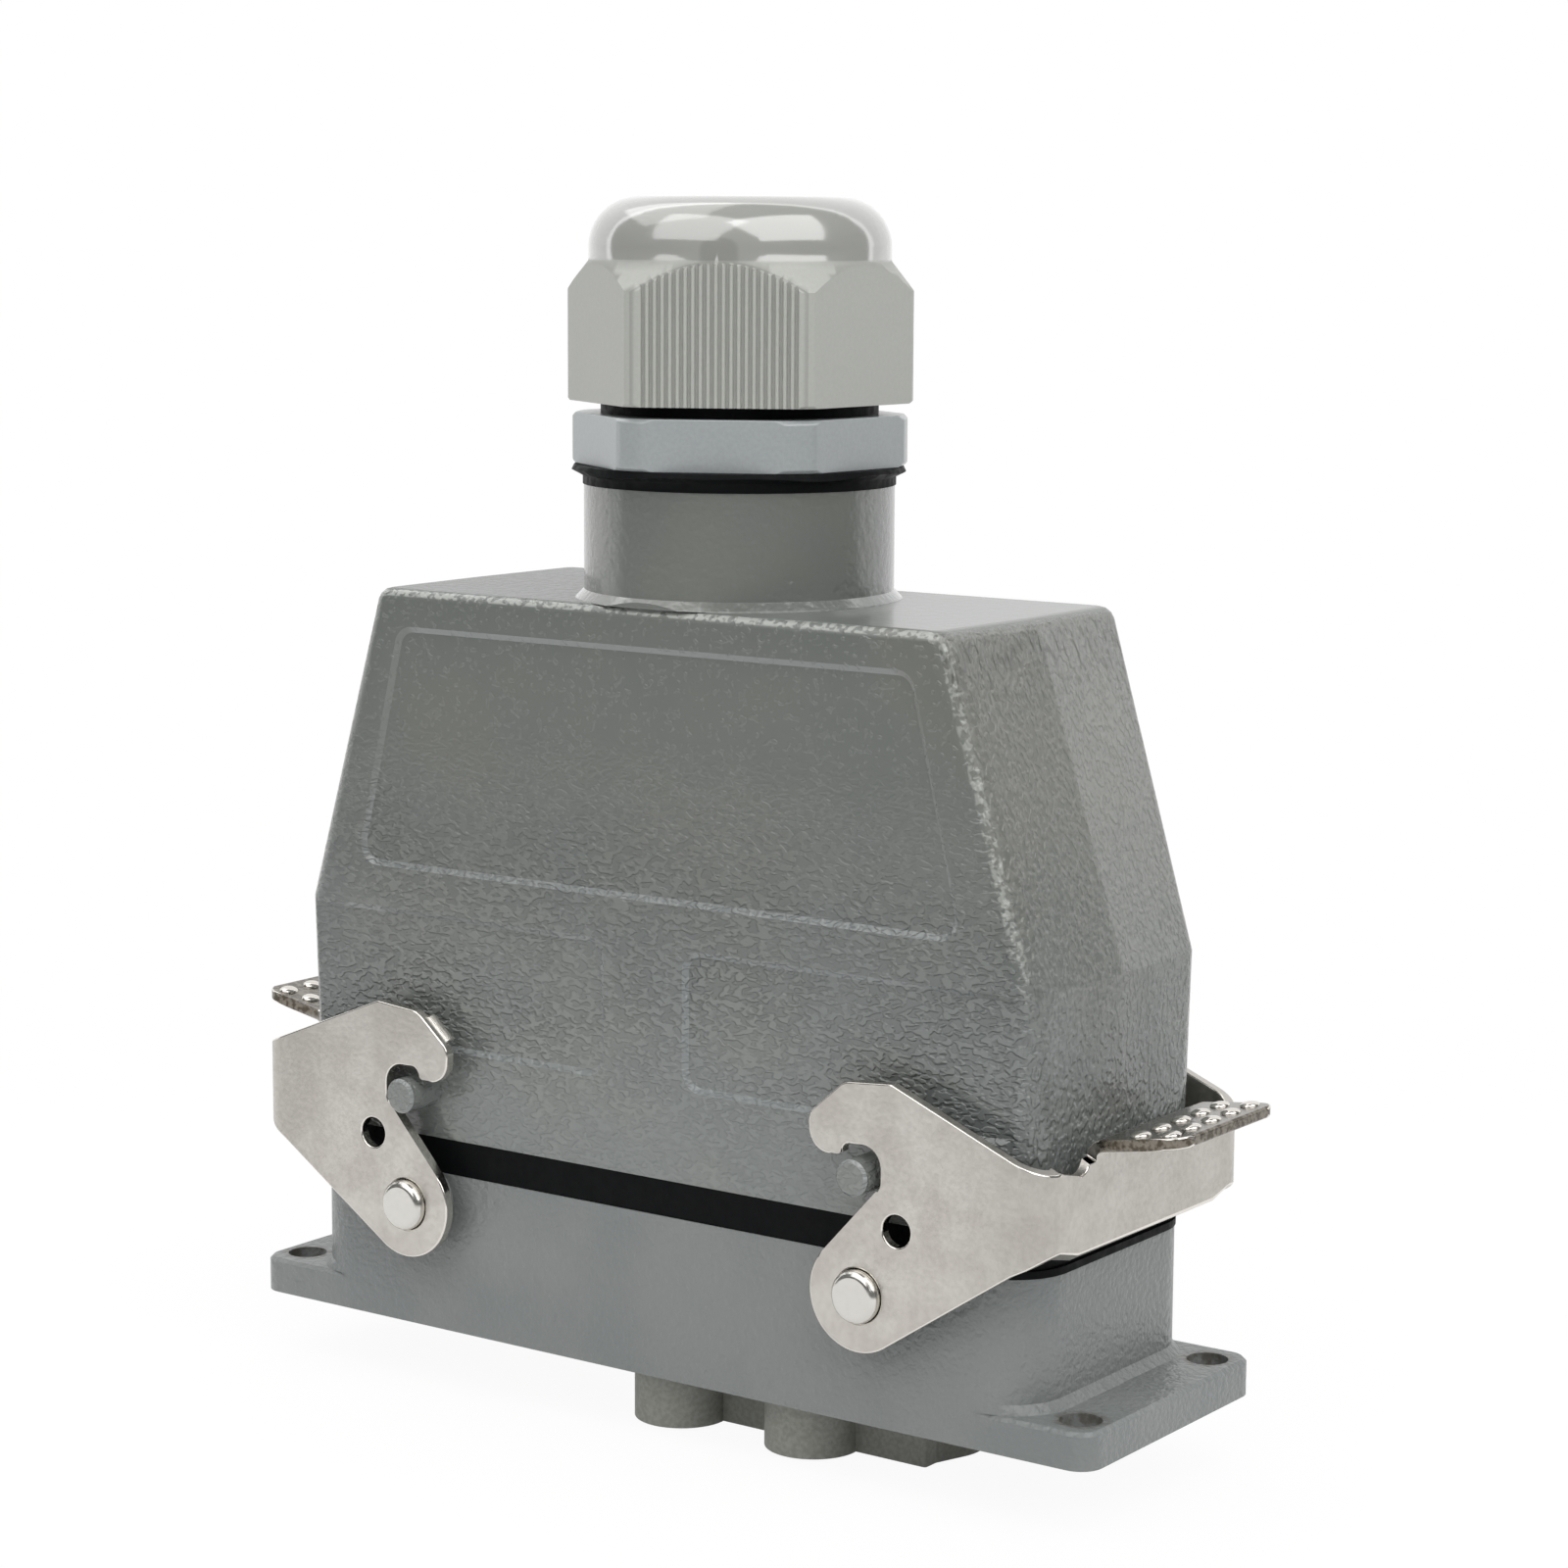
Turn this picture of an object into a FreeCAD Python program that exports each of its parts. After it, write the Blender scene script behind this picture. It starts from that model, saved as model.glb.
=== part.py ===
"""Heavy duty rectangular connector: flanged housing, top-entry hood, two levers, inserts and gland.

X runs along the flange, -Y is the front, +Z is up. The origin is the centre of the four panel
holes, on the underside of the flange. Lengths are in millimetres, angles in degrees.
"""
import FreeCAD, Part
import math
import os
from FreeCAD import Vector

# Panel flange and box wall of the housing
hole_spacing_x = 130.0
hole_spacing_y = 32.0
panel_hole_radius = 2.75
hole_to_end = 4.3
hole_to_side = 5.2
hole_to_wall = 4.75
flange_thickness = 4.9
flange_corner_radius = 3.2
flange_edge_chamfer = 0.5
housing_corner_radius = 8.5
housing_height = 22.25
housing_wall = 3.2
housing_inner_radius = 3.6
housing_foot_radius = 1.2

# Gasket between the housing and the hood
gasket_height = 4.95
gasket_width = 2.7
gasket_inset = 0.2
gasket_lip = 0.5
gasket_lip_height = 1.0
gasket_tongue_width = 1.0
gasket_tongue_depth = 1.4
gasket_clearance = 0.1

# Hood
hood_height = 75.45
hood_skirt_height = 31.25
hood_top_length = 92.6
hood_wall = 3.0
hood_top_wall = 3.4
hood_skirt_corner_radius = 6.0
hood_kink_corner_radius = 4.0
hood_top_corner_radius = 2.6
hood_top_edge_radius = 1.5
hood_top_edge_steps = 3
hood_end_crest = 0.5
hood_crest_radius = 20.0
panel_depth = 0.5
panel_slope = 0.8
panel_corner_radius = 3.0
upper_panel_top_margin = 5.8
upper_panel_bottom_margin = 8.2
upper_panel_top_below = 5.0
upper_panel_bottom_above_kink = 5.7
lower_panel_half_gap = 6.5
lower_panel_bottom_above_rim = 12.3
peg_from_pivot_x = 0.25
peg_above_rim = 6.6
peg_radius = 2.4
peg_overhang = 5.95
peg_end_chamfer = 0.4

# Levers and their pivot pins
pivot_below_rim = 3.9
pin_radius = 3.5
pin_overhang = 1.4
pin_end_chamfer = 0.6
pin_press_clearance = 0.02
pin_seat_skin = 0.15
pivot_clearance = 0.08
lever_sheet = 1.5
lever_standoff = 3.0
lever_boss_gap = 0.15
pivot_boss_radius = 4.75
lever_lobe_radius = 7.4
lever_reach = 27.1
lever_end_gap = 3.05
lever_bend_radius = 3.0
web_bottom_above_pivot = 9.8
web_height = 9.1
web_dip_depth = 1.4
web_dip_half = 15.4
web_dip_end_radius = 0.8
web_dip_radius = 2.2
lever_bottom_slope = 32.8
lever_waist_slope = 48.0
lever_small_hole_radius = 2.1
lever_small_hole_x = 5.8
lever_small_hole_z = 9.3
lever_open_clearance = 0.2
handle_root_half = 13.0
handle_tip_half = 12.0
handle_length = 11.8
handle_tilt = 8.5
handle_rise = 4.5
handle_bend_radius = 0.8
handle_crest_radius = 2.3
handle_rim_radius = 0.4
handle_corner_radius = 3.0

# Side view of the lever's hook, measured from the middle of the locking peg
hook_brow_reach = 5.1
hook_brow_rise = 12.5
hook_brow_radius = 1.5
hook_crown_reach = 2.1
hook_crown_rise = 11.9
hook_back_reach = 7.5
hook_back_rise = 7.2
hook_round_radius = 2.5
hook_chin_reach = 7.2
hook_chin_drop = 0.7
hook_chin_radius = 3.0
hook_nose_reach = 2.2
hook_nose_radius = 0.8
hook_notch_reach = 2.45
hook_notch_depth = 1.5
hook_notch_radius = 1.2
hook_throat_reach = 3.5
hook_throat_radius = 2.7
hook_throat_drop = 0.9
hook_waist_radius = 1.6
hook_tab_width = 4.6
hook_tab_gap = 2.0
hook_tab_bulge = 0.4
hook_tab_bend_radius = 0.6
hook_tab_end_radius = 0.3

# Cable gland on top of the neck, from the cable outwards
cable_entry_radius = 12.5
seal_wall = 1.1
seal_height = 14.0
claw_tip_wall = 0.6
claw_taper = 2.0
claw_clearance = 0.2
claw_seat_depth = 8.0
claw_height = 15.5
claw_base_height = 3.5
claw_shelf = 1.0
claw_slot_width = 1.2
claw_count = 12
upper_thread_wall = 0.5
upper_thread_length = 13.4
nut_thread_clearance = 0.1
nut_thread_length = 12.8
nut_wall = 3.3
nut_corner_reach = 2.65
nut_hex_turn = 28.4
nut_hex_height = 18.5
nut_corner_drop = 3.8
nut_bottom_chamfer = 0.3
nut_hole_margin = 0.5
nut_rim_chamfer = 0.7
nut_top_wall = 3.4
nut_gap = 1.5
nut_ring_step = 1.5
nut_ring_height = 1.25
dome_inset = 0.3
dome_height = 8.4
dome_shoulder_radius = 6.6
flute_count = 21
flute_depth = 0.32
flute_margin = 0.35
body_bore_margin = 1.5
body_thread_wall = 4.3
body_thread_length = 11.5
body_corner_reach = 1.95
body_corner_chamfer = 0.5
body_hex_height = 6.85
body_hex_turn = 26.8
washer_height = 2.5
washer_lip_height = 1.4
washer_overhang = 1.65
washer_step = 1.5

# Neck that takes the gland's thread
neck_thread_clearance = 0.15
neck_wall = 2.3
neck_height = 15.2
neck_root_radius = 1.2

# Inserts
insert_end_margin = 11.55
insert_side_gap = 1.6
insert_corner_radius = 1.5
ear_end_gap = 0.5
ear_side_gap = 0.4
ear_thickness = 4.0
ear_corner_radius = 4.6
ear_below_rim = 8.25
face_above_rim = 2.8
insert_floor_z = 2.0
insert_gap = 0.3
male_ear_above_rim = 16.8
male_rear_above_ear = 14.0
shroud_clearance = 0.3
shroud_wall = 1.7
shroud_depth = 7.5
shroud_floor = 6.0
shroud_corner_radius = 2.0
fixing_to_end = 3.0
fixing_to_side = 3.3
fixing_screw_radius = 2.0
fixing_head_radius = 3.2
fixing_head_height = 2.4
fixing_screw_length = 9.0
fixing_boss_radius = 4.2
fixing_boss_height = 8.0
screw_clearance = 0.1
driver_slot_width = 1.0
driver_slot_depth = 0.8

# Power contacts at the right half of the inserts
power_pitch = 21.8
power_to_block_end = 17.5
barrel_radius = 6.5
barrel_drop = 8.6
barrel_wall = 1.9
barrel_side_gap = 1.3
barrel_block_inset = 0.7
barrel_block_end_margin = 7.3
barrel_end_radius = 2.5
barrel_end_corner_radius = 0.5
power_collar_clearance = 0.2
power_collar_step = 1.2
power_collar_height = 3.0
power_tail_step = 0.6
power_tail_length = 1.0
power_socket_wall = 0.7
power_socket_depth = 16.0
power_wire_wall = 0.6
power_wire_bore_depth = 7.0
power_pin_clearance = 0.05
power_pin_reach = 13.0
contact_clearance = 0.1

# Signal contacts at the left half of the inserts
signal_to_block_end = 7.0
signal_pitch = 8.0
signal_columns = 4
signal_to_block_side = 7.6
signal_contact_half = 1.8
signal_terminal_step = 0.6
signal_terminal_height = 7.0
signal_socket_wall = 0.5
signal_socket_depth = 12.0
signal_pin_clearance = 0.05
signal_pin_reach = 10.0
signal_wire_bore_depth = 5.0
terminal_screw_radius = 1.5
terminal_screw_inset = 0.4

# Earth straps at the ends of both inserts
strap_thickness = 1.0
strap_width = 8.0
strap_gap = 0.2
strap_to_ear_end = 0.8
female_strap_height = 9.0
male_strap_drop = 20.0
earth_to_ear_end = 4.4
earth_screw_radius = 1.75
earth_head_radius = 3.2
earth_head_height = 2.2
earth_screw_length = 6.0

# Places along and across the connector, worked out from the sizes above
half_width = hole_spacing_y / 2 + hole_to_side
flange_half_length = hole_spacing_x / 2 + hole_to_end
housing_half_length = hole_spacing_x / 2 - hole_to_wall
hood_half_length = housing_half_length - gasket_inset
hood_top_half_length = hood_top_length / 2
arm_inner = half_width + lever_standoff
arm_outer = arm_inner + lever_sheet
web_outer_x = housing_half_length + lever_end_gap + lever_sheet
pivot_x = web_outer_x - lever_reach
peg_x = pivot_x - peg_from_pivot_x

# Heights of the shell and the levers
hood_rim_z = housing_height + gasket_height
hood_kink_z = hood_rim_z + hood_skirt_height
hood_top_z = hood_rim_z + hood_height
neck_top_z = hood_top_z + neck_height
pivot_z = housing_height - pivot_below_rim
peg_z = hood_rim_z + peg_above_rim
web_bottom_z = pivot_z + web_bottom_above_pivot
web_top_z = web_bottom_z + web_height
web_dip_z = web_top_z - web_dip_depth

# Radii and heights of the gland
seal_outer_radius = cable_entry_radius + seal_wall
claw_inner_radius = seal_outer_radius + contact_clearance
claw_tip_radius = claw_inner_radius + claw_tip_wall
claw_outer_radius = claw_tip_radius + claw_taper
claw_seat_radius = claw_outer_radius + claw_clearance
upper_thread_radius = claw_seat_radius + upper_thread_wall
nut_bore_radius = upper_thread_radius + nut_thread_clearance
nut_ring_radius = upper_thread_radius + nut_ring_step
nut_hole_radius = cable_entry_radius + nut_hole_margin
gland_flat_radius = nut_bore_radius + nut_wall
nut_corner_radius = gland_flat_radius + nut_corner_reach
body_corner_radius = gland_flat_radius + body_corner_reach
dome_radius = gland_flat_radius - dome_inset
body_bore_radius = cable_entry_radius + body_bore_margin
body_thread_radius = body_bore_radius + body_thread_wall
neck_bore_radius = body_thread_radius + neck_thread_clearance
neck_radius = neck_bore_radius + neck_wall
washer_radius = neck_radius + washer_overhang
washer_top_z = neck_top_z + washer_height
body_hex_top_z = washer_top_z + body_hex_height
nut_bottom_z = body_hex_top_z + nut_gap
dome_base_z = nut_bottom_z + nut_hex_height
nut_top_z = dome_base_z + dome_height
claw_z = body_hex_top_z + upper_thread_length - claw_seat_depth

# Places of the inserts and their contacts
ear_half_length = housing_half_length - housing_wall - ear_end_gap
ear_half_width = half_width - housing_wall - ear_side_gap
insert_half_length = ear_half_length - insert_end_margin
insert_half_width = half_width - hood_wall - shroud_wall - shroud_clearance - insert_side_gap
fixing_spacing_x = 2 * (ear_half_length - fixing_to_end)
fixing_spacing_y = 2 * (ear_half_width - fixing_to_side)
earth_screw_x = ear_half_length - earth_to_ear_end
strap_end_x = ear_half_length - strap_to_ear_end
female_strap_x = insert_half_length + strap_gap
male_strap_x = female_strap_x + strap_thickness + strap_gap
female_ear_z = housing_height - ear_below_rim
female_ear_top_z = female_ear_z + ear_thickness
female_face_z = hood_rim_z + face_above_rim
male_floor_z = female_face_z + insert_gap
male_block_z = male_floor_z + shroud_floor
male_ear_z = hood_rim_z + male_ear_above_rim
male_rear_z = male_ear_z + male_rear_above_ear
barrel_bore_radius = barrel_radius - barrel_wall
barrel_block_end_x = insert_half_length - barrel_block_end_margin
power_row_half = half_width - housing_wall - barrel_side_gap - barrel_radius
barrel_block_half_width = power_row_half - barrel_block_inset
power_collar_radius = barrel_bore_radius - power_collar_clearance
power_contact_radius = power_collar_radius - power_collar_step
power_socket_radius = power_contact_radius - power_socket_wall
power_pin_radius = power_socket_radius - power_pin_clearance
power_wire_bore_radius = power_contact_radius - power_wire_wall
power_last_x = barrel_block_end_x - power_to_block_end
power_columns = [power_last_x - power_pitch, power_last_x]
signal_row_half = insert_half_width - signal_to_block_side
signal_terminal_half = signal_contact_half + signal_terminal_step
signal_socket_radius = signal_contact_half - signal_socket_wall
signal_pin_radius = signal_socket_radius - signal_pin_clearance
signal_first_x = signal_to_block_end - insert_half_length
signal_column_places = [signal_first_x + i * signal_pitch for i in range(signal_columns)]
far = 200.0


def flat(z):
    """Puts a drawn point (u, v) on the level plane at height z, as x and y."""
    return lambda u, v: Vector(u, v, z)


def upright(y):
    """Puts a drawn point (u, v) on the upright plane at the given y, as x and z."""
    return lambda u, v: Vector(u, y, v)


def outline(corners, place):
    """Closed wire through corners (u, v, radius); a radius of 0 leaves the corner sharp."""
    turns = []
    for index, (u, v, radius) in enumerate(corners):
        here = Vector(u, v, 0)
        before = corners[index - 1]
        after = corners[(index + 1) % len(corners)]
        back = (Vector(before[0], before[1], 0) - here).normalize()
        ahead = (Vector(after[0], after[1], 0) - here).normalize()
        half = back.getAngle(ahead) / 2
        inward = (back + ahead).normalize() if radius else Vector()
        reach = radius / math.tan(half)
        middle = here + inward * (radius / math.sin(half) - radius)
        turns.append((radius, here + back * reach, middle, here + ahead * reach))
    edges = []
    for index, (radius, start, middle, end) in enumerate(turns):
        if radius:
            points = [place(p.x, p.y) for p in (start, middle, end)]
            edges.append(Part.Arc(*points).toShape())
        following = turns[(index + 1) % len(turns)][1]
        if (following - end).Length > 1e-6:
            line = Part.LineSegment(place(end.x, end.y), place(following.x, following.y))
            edges.append(line.toShape())
    return Part.Wire(edges)


def inset(corners, distance):
    """Moves the sides of a convex outline inwards and keeps its rounding concentric."""
    moved = []
    for index, (u, v, radius) in enumerate(corners):
        here = Vector(u, v, 0)
        before = corners[index - 1]
        after = corners[(index + 1) % len(corners)]
        back = (Vector(before[0], before[1], 0) - here).normalize()
        ahead = (Vector(after[0], after[1], 0) - here).normalize()
        half = back.getAngle(ahead) / 2
        point = here + (back + ahead).normalize() * (distance / math.sin(half))
        moved.append((point.x, point.y, max(radius - distance, 0)))
    return moved


def rectangle(half_length, half_depth, radius, centre_x=0.0):
    """Corners of a rounded rectangle about (centre_x, 0)."""
    signs = [(1, 1), (-1, 1), (-1, -1), (1, -1)]
    return [(centre_x + sx * half_length, sy * half_depth, radius) for sx, sy in signs]


def slab(corners, bottom, top):
    """Solid between two heights with the given outline."""
    face = Part.Face(outline(corners, flat(bottom)))
    return face.extrude(Vector(0, 0, top - bottom))


def box(x0, x1, y0, y1, z0, z1):
    return Part.makeBox(x1 - x0, y1 - y0, z1 - z0, Vector(x0, y0, z0))


def post(x, y, z0, z1, radius):
    """Upright cylinder between two heights."""
    return Part.makeCylinder(radius, z1 - z0, Vector(x, y, z0))


def square_bar(x, y, z0, z1, half):
    """Upright square bar between two heights."""
    return box(x - half, x + half, y - half, y + half, z0, z1)


def turned(profile):
    """Solid of revolution about Z from corners (radius, z, rounding)."""
    face = Part.Face(outline(profile, upright(0)))
    return face.revolve(Vector(0, 0, 0), Vector(0, 0, 1), 360)


def joined(shapes):
    """One solid from overlapping or touching shapes."""
    result = shapes[0].fuse(shapes[1:])
    return result.removeSplitter()


def mirror_x(shape):
    return shape.mirror(Vector(0, 0, 0), Vector(1, 0, 0))


def mirror_y(shape):
    return shape.mirror(Vector(0, 0, 0), Vector(0, 1, 0))


def both_faces(shape):
    return [shape, mirror_y(shape)]


def four_corners(spacing_x, spacing_y):
    """Centres of a rectangular pattern about the origin."""
    signs = [(-1, -1), (1, -1), (1, 1), (-1, 1)]
    return [(sx * spacing_x / 2, sy * spacing_y / 2) for sx, sy in signs]


def edges_where(shape, test):
    """Edges whose ends and middle all pass the test."""
    found = []
    for edge in shape.Edges:
        middle = edge.valueAt((edge.FirstParameter + edge.LastParameter) / 2)
        points = [vertex.Point for vertex in edge.Vertexes] + [middle]
        if all(test(point) for point in points):
            found.append(edge)
    return found


def at_height(z):
    return lambda point: abs(point.z - z) < 1e-3


def shell_outline(half_length, radius, shrink=0.0):
    """Outline shared by the housing wall, gasket and hood rim."""
    return rectangle(half_length - shrink, half_width - shrink, max(radius - shrink, 0.5))


# Housing

def housing_pivot_bosses():
    """Round bosses that stand the levers off the wall, one for each pivot pin."""
    bosses = []
    length = lever_standoff - lever_boss_gap + housing_wall / 2
    for x in (-pivot_x, pivot_x):
        start = Vector(x, -(half_width - housing_wall / 2), pivot_z)
        boss = Part.makeCylinder(pivot_boss_radius, length, start, Vector(0, -1, 0))
        bosses += both_faces(boss)
    below_rim = box(-far, far, -far, far, 0, housing_height)
    return [boss.common(below_rim) for boss in bosses]


def pivot_pin_seats():
    """Holes for the pivot pins, through the bosses and part of the wall."""
    seats = []
    for x in (-pivot_x, pivot_x):
        start = Vector(x, -pin_root_y(), pivot_z)
        radius = pin_radius + pin_press_clearance
        seats += both_faces(Part.makeCylinder(radius, far, start, Vector(0, -1, 0)))
    return seats


def pin_root_y():
    """Distance of a pivot pin's inner end from the middle plane, just outside the gasket groove."""
    groove_side = (housing_wall - gasket_tongue_width) / 2 - gasket_clearance
    return half_width - groove_side + pin_seat_skin


def fixing_bosses(z0, z1, wall_inner, clip):
    """Screw bosses in the four inner corners, joined to the side walls."""
    bosses = []
    for x, y in four_corners(fixing_spacing_x, fixing_spacing_y):
        bosses.append(post(x, y, z0, z1, fixing_boss_radius))
        side = math.copysign(wall_inner, y)
        low, high = sorted((y, side))
        bosses.append(box(x - fixing_boss_radius, x + fixing_boss_radius, low, high, z0, z1))
    return [boss.common(clip) for boss in bosses]


def gasket_tongue(shrink, depth):
    """Ring that keys the gasket into the rim of the housing."""
    middle = (housing_wall - gasket_tongue_width) / 2
    outer = shell_outline(housing_half_length, housing_corner_radius, middle - shrink)
    inner = shell_outline(housing_half_length, housing_corner_radius,
                          middle + gasket_tongue_width + shrink)
    bottom = housing_height - depth
    return slab(outer, bottom, housing_height).cut(slab(inner, bottom, housing_height))


def bulkhead_housing():
    flange = slab(rectangle(flange_half_length, half_width, flange_corner_radius),
                  0, flange_thickness)
    flange_edges = edges_where(flange, at_height(flange_thickness))
    flange = flange.makeChamfer(flange_edge_chamfer, flange_edges)
    wall = slab(shell_outline(housing_half_length, housing_corner_radius), 0, housing_height)
    foot = Part.makeLoft([
        outline(rectangle(housing_half_length + housing_foot_radius, half_width,
                          housing_corner_radius), flat(flange_thickness)),
        outline(rectangle(housing_half_length, half_width,
                          housing_corner_radius), flat(flange_thickness + housing_foot_radius)),
    ], True, True)
    body = joined([flange, wall, foot] + housing_pivot_bosses())
    hollow = rectangle(housing_half_length - housing_wall, half_width - housing_wall,
                       housing_inner_radius)
    body = body.cut(slab(hollow, -1, housing_height + 1))
    bosses = fixing_bosses(female_ear_z - fixing_boss_height, female_ear_z,
                           half_width - housing_wall / 2, wall)
    body = joined([body] + bosses)
    cuts = [gasket_tongue(gasket_clearance, gasket_tongue_depth + gasket_clearance)]
    cuts += pivot_pin_seats()
    for x, y in four_corners(hole_spacing_x, hole_spacing_y):
        cuts.append(post(x, y, -1, flange_thickness + 1, panel_hole_radius))
    for x, y in four_corners(fixing_spacing_x, fixing_spacing_y):
        cuts.append(post(x, y, female_ear_z - fixing_boss_height - 1, female_ear_z + 1,
                         fixing_screw_radius + screw_clearance))
    return body.cut(cuts)


def housing_gasket():
    outer = inset(shell_outline(housing_half_length, housing_corner_radius), gasket_inset)
    ring = slab(outer, housing_height, hood_rim_z)
    lip = slab(rectangle(housing_half_length - gasket_inset + gasket_lip,
                         half_width - gasket_inset, housing_corner_radius),
               housing_height, housing_height + gasket_lip_height)
    inner = slab(inset(outer, gasket_width), housing_height, hood_rim_z)
    return joined([ring, lip]).cut(inner).fuse(gasket_tongue(0, gasket_tongue_depth))


def pivot_pin(x, front):
    length = arm_outer + pin_overhang - pin_root_y()
    start = Vector(x, -pin_root_y(), pivot_z)
    pin = Part.makeCylinder(pin_radius, length, start, Vector(0, -1, 0))
    tip_y = -(arm_outer + pin_overhang)
    rim = edges_where(pin, lambda point: abs(point.y - tip_y) < 1e-3)
    pin = pin.makeChamfer(pin_end_chamfer, rim)
    return pin if front else mirror_y(pin)


# Hood

def hood_outline(half_length, radius, shrink=0.0):
    """Hood section whose end walls come to a faint crest on the middle plane."""
    length = half_length - shrink
    depth = half_width - shrink
    corner = max(radius - shrink, 0.5)
    crest = length + hood_end_crest
    return [(crest, 0, hood_crest_radius), (length, depth, corner), (-length, depth, corner),
            (-crest, 0, hood_crest_radius), (-length, -depth, corner), (length, -depth, corner)]


def hood_half_length_at(z):
    if z <= hood_kink_z:
        return hood_half_length
    share = (z - hood_kink_z) / (hood_top_z - hood_kink_z)
    return hood_half_length + share * (hood_top_half_length - hood_half_length)


def hood_body(shrink, bottom, top):
    """Lofted hood form, reduced by shrink on every wall."""
    levels = [(bottom, hood_skirt_corner_radius), (hood_kink_z, hood_kink_corner_radius),
              (top, hood_top_corner_radius)]
    wires = []
    for z, radius in levels:
        corners = hood_outline(hood_half_length_at(z), radius, shrink)
        wires.append(outline(corners, flat(z)))
    return Part.makeLoft(wires, True, True)


def hood_top_edge():
    """Top of the hood, whose edge rolls over in equal turns."""
    wires = []
    for step in range(hood_top_edge_steps + 1):
        turn = math.pi / 2 * step / hood_top_edge_steps
        shrink = hood_top_edge_radius * (1 - math.cos(turn))
        z = hood_top_z - hood_top_edge_radius * (1 - math.sin(turn))
        corners = hood_outline(hood_half_length_at(z), hood_top_corner_radius, shrink)
        wires.append(outline(corners, flat(z)))
    return Part.makeLoft(wires, True, True)


def sunk_panel(corners):
    """Tool for a shallow field with sloping sides in the front face."""
    above = outline(inset(corners, -panel_slope), upright(-half_width - panel_depth))
    below = outline(inset(corners, panel_slope), upright(-half_width + panel_depth))
    return Part.makeLoft([above, below], True, True)


def hood_panels():
    top = hood_top_z - upper_panel_top_below
    bottom = hood_kink_z + upper_panel_bottom_above_kink
    radius = panel_corner_radius
    top_half = hood_half_length_at(top) - upper_panel_top_margin
    bottom_half = hood_half_length_at(bottom) - upper_panel_bottom_margin
    upper = [(top_half, top, radius), (-top_half, top, radius),
             (-bottom_half, bottom, radius), (bottom_half, bottom, radius)]
    low = hood_rim_z + lower_panel_bottom_above_rim
    over = hood_half_length + flange_corner_radius
    gap = lower_panel_half_gap
    left = [(-gap, hood_kink_z, radius), (-over, hood_kink_z, radius),
            (-over, low, radius), (-gap, low, radius)]
    right = [(over, hood_kink_z, radius), (gap, hood_kink_z, radius),
             (gap, low, radius), (over, low, radius)]
    tools = []
    for corners in (upper, left, right):
        tools += both_faces(sunk_panel(corners))
    return tools


def hood_pegs():
    """Cast pegs that the lever hooks pull down."""
    pegs = []
    root = hood_wall / 2
    length = peg_overhang + root
    for x in (-peg_x, peg_x):
        start = Vector(x, -(half_width - root), peg_z)
        peg = Part.makeCylinder(peg_radius, length, start, Vector(0, -1, 0))
        tip_y = start.y - length
        rim = edges_where(peg, lambda point: abs(point.y - tip_y) < 1e-3)
        pegs += both_faces(peg.makeChamfer(peg_end_chamfer, rim))
    return pegs


def hood_neck():
    """Round neck with a small root radius, kept inside the front and back faces."""
    root_z = hood_top_z + neck_root_radius
    neck = post(0, 0, hood_top_z - hood_top_wall, neck_top_z, neck_radius)
    flare = Part.makeCone(neck_radius + neck_root_radius, neck_radius, neck_root_radius,
                          Vector(0, 0, root_z - neck_root_radius))
    return neck.fuse(flare).common(box(-far, far, -half_width, half_width, 0, far))


def hood():
    sides = hood_body(0, hood_rim_z, hood_top_z - hood_top_edge_radius)
    outside = joined([sides, hood_top_edge()])
    body = joined([outside, hood_neck()]).cut(hood_panels())
    body = joined([body] + hood_pegs())
    inside = hood_body(hood_wall, hood_rim_z - 1, hood_top_z - hood_top_wall)
    body = body.cut(inside)
    bosses = fixing_bosses(male_ear_z + ear_thickness,
                           male_ear_z + ear_thickness + fixing_boss_height,
                           half_width - hood_wall / 2, outside)
    body = joined([body] + bosses)
    cuts = [post(0, 0, hood_top_z - hood_top_wall - 1, neck_top_z + 1, neck_bore_radius)]
    for x, y in four_corners(fixing_spacing_x, fixing_spacing_y):
        cuts.append(post(x, y, male_ear_z, male_ear_z + ear_thickness + fixing_boss_height - 1,
                         fixing_screw_radius + screw_clearance))
    return body.cut(cuts)


# Levers

def arm_corners():
    """Side view of a lever arm between its lobe, its hook and the folded web."""
    waist = math.radians(90 + lever_waist_slope)
    bottom = math.radians(lever_bottom_slope - 90)
    lobe_left = (pivot_x + lever_lobe_radius * math.cos(waist),
                 pivot_z + lever_lobe_radius * math.sin(waist))
    lobe_right = (pivot_x + lever_lobe_radius * math.cos(bottom),
                  pivot_z + lever_lobe_radius * math.sin(bottom))
    hook_z = peg_z + peg_radius + lever_open_clearance
    notch_z = hook_z + hook_notch_depth
    return [
        (lobe_right[0], lobe_right[1], 0),
        (web_outer_x, web_bottom_z, 0),
        (web_outer_x, web_top_z, 0),
        (peg_x + hook_brow_reach, peg_z + hook_brow_rise, hook_brow_radius),
        (peg_x - hook_crown_reach, peg_z + hook_crown_rise, hook_round_radius),
        (peg_x - hook_back_reach, peg_z + hook_back_rise, hook_round_radius),
        (peg_x - hook_chin_reach, hook_z - hook_chin_drop, hook_chin_radius),
        (peg_x - hook_nose_reach, hook_z, hook_nose_radius),
        (peg_x - hook_notch_reach, notch_z, hook_notch_radius),
        (peg_x + hook_throat_reach, notch_z, hook_throat_radius),
        (peg_x + hook_throat_reach, peg_z - hook_throat_drop, hook_waist_radius),
        (lobe_left[0], lobe_left[1], 0),
    ]


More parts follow.
